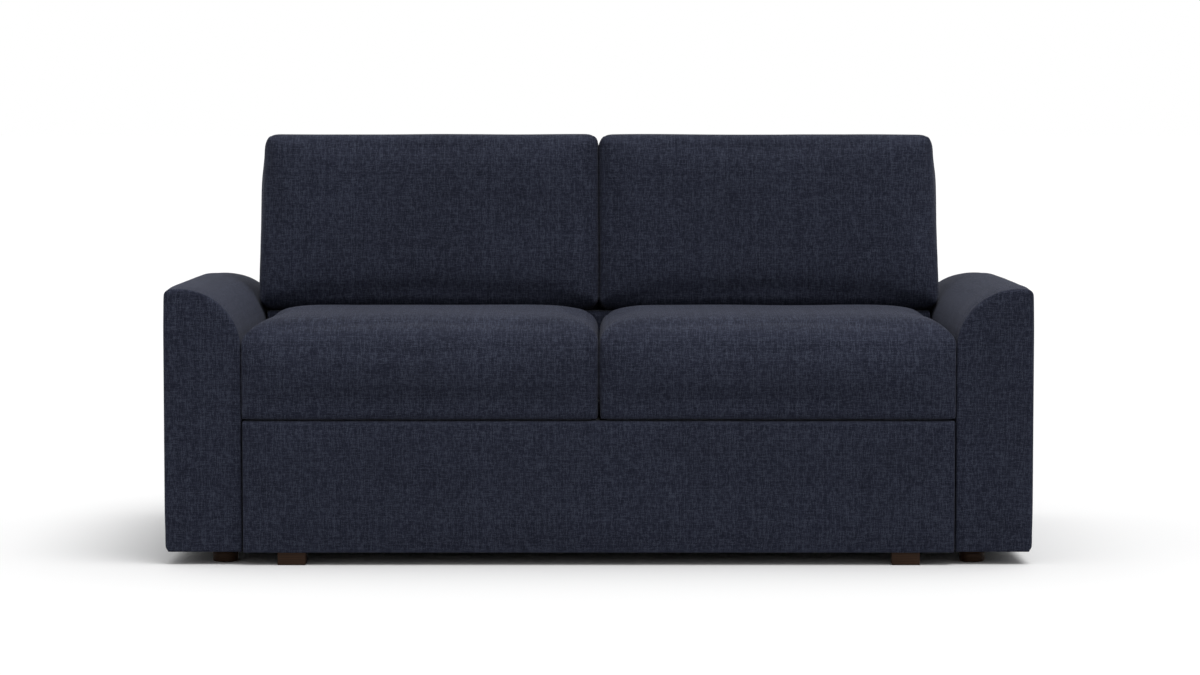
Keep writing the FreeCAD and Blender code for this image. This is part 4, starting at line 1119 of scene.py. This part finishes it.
def weld(x, y0, y1, z, way):
    """Lumpy bead of weld where two tubes meet."""
    last = 8
    path = [(x - way * (0.0012 + 0.0004 * math.sin(n * 2.1)), y0 + (y1 - y0) * n / last,
             z + 0.0006 * math.sin(n * 1.7)) for n in range(last + 1)]
    return tube_along("weld", path, 0.0016, "black_steel", 6)


def flat_cloth(name, low, high, counts, height, thickness, finish):
    """Thin cloth between two corners of its plan, height(i, j) high at each corner of its squares."""
    across, along = counts
    verts = [(low[0] + (high[0] - low[0]) * i / across, low[1] + (high[1] - low[1]) * j / along, height(i, j))
             for j in range(along + 1) for i in range(across + 1)]
    row = across + 1
    faces = [(a, a + 1, a + row + 1, a + row) for j in range(along) for a in range(j * row, j * row + across)]
    cloth = new_piece(name, verts, faces, finish)
    thick = cloth.modifiers.new("thickness", "SOLIDIFY")
    thick.thickness = thickness
    thick.offset = 0.0
    return plain_mesh(cloth)


def web_sheet(section):
    """Woven bed cloth inside a frame, hemmed, and laced to the tubes with small springs."""
    node, body = f"{section}_cloth", f"{section}_section"
    margin, hem_width, hem_half, spring_pitch = 0.020, 0.022, 0.0009, 0.062
    low, high = node_box(node)
    (x0, y0), (x1, y1) = ends = (low[:2] + margin, high[:2] - margin)
    z = (high[2] - 0.0001 + low[2] + 0.0002) / 2

    def height(i, j):
        return z + 0.00025 * math.sin(i * 1.3) * math.sin(j * 1.1)

    cloth = flat_cloth(f"{node}_sheet", *ends, (46, 24), height, 0.0010, "bed_webbing")
    dress(cloth, body, "bed_web", node)
    strips = [(x0, y, x1, y + hem_width) for y in (y0, y1 - hem_width)]
    strips += [(x, y0, x + hem_width, y1) for x in (x0, x1 - hem_width)]
    strips = [bar((xa, ya, z - hem_half), (xb, yb, z + hem_half), 0.0006, "bed_webbing")
              for xa, ya, xb, yb in strips]
    hem = dress(joined(f"{node}_hem", strips), body, "bed_web")
    points, runs = [], []
    for axis in (0, 1):
        for n in range(int((ends[1][axis] - ends[0][axis]) / spring_pitch)):
            for end, way in zip(ends, (-1, 1)):
                point, run = [0, 0, z], [0, 0, 0]
                point[axis] = ends[0][axis] + (n + 0.5) * spring_pitch
                point[1 - axis] = end[1 - axis] + way * margin / 2
                run[1 - axis] = way
                points.append(point)
                runs.append(run)
    springs = repeated(f"{node}_springs", LACE_SPRING, points, [(0, 0, 1)] * len(points), runs, "zinc_steel")
    dress(springs, body, "zinc_steel")


def lace_spring():
    """Small tension spring that lies along X, a hook at each end."""
    steps, length, radius, flatten = 5 * 8, 0.013, 0.0010, 0.75
    path = [(-0.0105, 0, 0), (-0.0085, 0, 0)]
    for n in range(steps + 1):
        a = math.pi / 4 * n
        path.append((length * (n / steps - 0.5), radius * math.cos(a), radius * flatten * math.sin(a)))
    path += [(0.0085, 0, 0), (0.0105, 0, 0)]
    return template_of(tube_along("lace_spring_form", path, 0.00032, "zinc_steel", 4))


LACE_SPRING = lace_spring()


def bed_sections():
    """Three frames, each with its slats, its cloth and its mattress."""
    for section, bays in (("head", 4), ("foot", 3)):
        (_, near, _), (_, far, _) = node_box(f"{section}_frame")
        steel_frame(section, [near + n * (far - near - TUBE) / bays for n in range(1, bays)])
    near = node_box("middle_frame")[0][1]
    # The last slat stops short of the leg, which folds up behind it
    last = node_box("leg_glides")[0][1] - 0.0003 - 0.024
    steel_frame("middle", [(near + last) / 2, last])
    for section in ("head", "middle", "foot"):
        web_sheet(section)
        mattress(section)


def steelwork():
    """Links, plates, pins and brackets, with a rivet head at the end of every pin."""
    for side in ("left", "right"):
        for end in ("front", "rear"):
            softened(f"{side}_{end}_link", 0.0008, "black_steel")
            softened(f"{side}_{end}_link_bracket", 0.0006, "black_steel")
    for node in ("head_hinge_plates", "middle_turn_plates", "middle_fold_plates", "foot_fold_plates"):
        softened(node, 0.0008, "black_steel")
    softened("panel_angles", 0.0005, "black_steel")
    softened("middle_leg", 0.0004, "black_steel")
    softened("leg_glides", 0.0014, "glide_plastic", segments=3)
    joints = frame["record"]["behaviour"]["joints"]
    at = {joint["name"]: joint["pos_m"] for joint in joints if "pos_m" in joint}
    front_base, front_bed, rear_base = at["front_link_swing"], at["head_level"], at["rear_link_swing"]
    rear_bed = [0, rear_base[1] + front_bed[1] - front_base[1], front_bed[2]]
    # Distance of each pin's heads from the middle of the sofa: the one that looks out, the one that looks in
    pins = (
        ("turn_hinge_pins", "head_section", [at["bed_unfold"]], 0.711, 0.697, 0.62),
        ("fold_hinge_pins", "foot_section", [at["foot_level"]], 0.711, 0.697, 0.62),
        ("base_pivot_pins", "sofa_base", [front_base, rear_base], None, 0.716, 0.8),
        ("head_link_pins", "head_section", [front_bed, rear_bed], 0.724, None, 0.8),
    )
    for node, body, places, outer, inner, size in pins:
        heads = [(way * x, y, z, way * look) for _, y, z in places for way in (-1, 1)
                 for x, look in ((outer, 1), (inner, -1)) if x]
        points, outs = [head[:3] for head in heads], [(head[3], 0, 0) for head in heads]
        row = repeated(f"{node}_heads", RIVET, points, outs, [(0, 0, 1)] * len(heads), "zinc_steel", size)
        dress(row, body, "zinc_steel")


def woodwork():
    """Rails, cleats and feet."""
    for side in ("left", "right"):
        softened(f"{side}_side_rail", 0.0015, "rail_wood")
        softened(f"{side}_block_foot", 0.0018, "foot_wood", segments=3)
    softened("base_cross_rails", 0.0012, "board_wood")
    softened("deck_cleats", 0.0012, "rail_wood")
    for node in ("front_left_foot", "front_right_foot", "rear_left_foot", "rear_right_foot"):
        low, high = node_box(node)
        radius, height = (high[0] - low[0]) / 2, high[2] - low[2]
        profile = [(0, 0), (radius - 0.0035, 0), (radius - 0.0012, 0.0010), (radius - 0.0002, 0.0030),
                   (radius - 0.0001, height * 0.5), (radius - 0.0002, height - 0.0004), (0, height)]
        foot = lathe(f"{node}_turned", profile, "foot_wood", 48)
        middle = (low + high) / 2
        foot.data.transform(Matrix.Translation((middle[0], middle[1], 0)))
        foot.data.update()
        dress(foot, "sofa_base", "foot_wood", node)


def dust_cloth():
    """Thin black cloth under the sofa, stapled round its edge."""
    low, high = node_box("dust_cloth")
    inset, end_gap, count = 0.009, 0.03, 24

    def height(i, j):
        return high[2] - 0.00035 - 0.0002 * abs(math.sin(i * 0.9) * math.sin(j * 0.7))

    cloth = flat_cloth("dust_cloth_sheet", low, high, (40, 24), height, 0.0004, "dust_cloth")
    dress(cloth, "sofa_base", "dust_fabric", "dust_cloth")
    half, leg, crown_up = 0.005, 0.002, 0.0002
    wire = [(-half, 0, -leg), (-half, 0, crown_up), (half, 0, crown_up), (half, 0, -leg)]
    staple = template_of(tube_along("staple_form", wire, 0.0004, "zinc_steel", 5))
    xs = np.linspace(low[0] + end_gap, high[0] - end_gap, count)
    points = [(x, y, low[2] + 0.0004) for x in xs for y in (low[1] + inset, high[1] - inset)]
    staples = repeated("dust_cloth_staples", staple, points, [(0, 0, -1)] * len(points),
                       [(1, 0.25, 0)] * len(points), "zinc_steel")
    dress(staples, "sofa_base", "zinc_steel")


def bolt_heads():
    """Button heads with a hexagon socket for the rail bolts, each on its washer."""
    low, high = node_box("rail_bolts")
    head = template_of(lathe("button_head_form", [
        (0, -0.0035), (0.0068, -0.0035), (0.0070, -0.002), (0.0064, 0.0), (0.0052, 0.0014), (0.0036, 0.0021),
        (0.0030, 0.0021), (0.0028, -0.0006), (0, -0.0008)], "zinc_steel", 24))
    rail = node_box("right_side_rail")[0][0]
    head_radius, head_sunk, washer_sunk = 0.007, 0.0005, 0.0011
    places = [(way, y) for way in (-1, 1) for y in (low[1] + head_radius, high[1] - head_radius)]
    outs = [(-way, 0, 0) for way, _ in places]
    for name, form, sunk, nodes in (("rail_bolt_heads", head, head_sunk, ["rail_bolts"]),
                                    ("rail_bolt_washers", WASHER, washer_sunk, [])):
        points = [(way * (rail - sunk), y, (low[2] + high[2]) / 2) for way, y in places]
        row = repeated(name, form, points, outs, [(0, 0, 1)] * len(points), "zinc_steel")
        dress(row, "sofa_base", "zinc_steel", *nodes)


bed_sections()
steelwork()
woodwork()
dust_cloth()
bolt_heads()
for side_name in ("left", "right"):
    arm(side_name)
sofa_back()
rear_deck()
front_panel()
for side_name in ("left", "right"):
    seat_cushion(side_name)
    back_cushion(side_name)
for template in TEMPLATES:
    bpy.data.objects.remove(template)


# Floor, light and camera
def floor_material():
    """White floor that keeps the sofa's shadow. The camera sees the open floor as plain white."""
    g, shader, _ = material("studio_floor")
    g.fill(shader, Roughness=0.9, Specular_IOR_Level=0.0,
           Base_Color=g.mix(g.to_eye(), (0.42, 0.42, 0.42), (0.98, 0.98, 0.98)))


bpy.ops.mesh.primitive_plane_add(size=400, location=(0, 0, 0))
floor = bpy.context.object
floor.name = "studio_floor"
floor_material()
floor.data.materials.append(MATERIALS["studio_floor"])


def soft_sun(name, come_from, strength, spread_angle):
    """Distant soft light, so that the floor is as bright far away as near."""
    data = bpy.data.lights.new(name, "SUN")
    data.energy = strength
    data.angle = math.radians(spread_angle)
    lamp = in_scene(name, data)
    lamp.rotation_mode = "QUATERNION"
    lamp.rotation_quaternion = Vector(come_from).to_track_quat("Z", "Y")


soft_sun("key_light", (0.28, -0.26, 1.0), 1.15, 38)
soft_sun("top_light", (0.1, 0.15, 1.0), 0.75, 70)

world = bpy.data.worlds.new("studio")
bpy.context.scene.world = world
world.use_nodes = True
sky = Graph(world.node_tree)
strength = sky.between(sky.to_eye(), 0.50, 1.0)
sky.fill(world.node_tree.nodes["Background"], Color=(1, 1, 1, 1), Strength=strength)

camera_data = bpy.data.cameras.new("photo_camera")
camera_data.sensor_width = SENSOR
camera_data.lens = SENSOR * FOCAL_PIXELS / PHOTO_WIDTH
camera = in_scene("photo_camera", camera_data)
camera.location = CAMERA_PLACE
camera.rotation_euler = (math.radians(90 - CAMERA_TILT), 0, 0)
bpy.context.scene.camera = camera
bpy.context.scene.view_settings.view_transform = "Standard"
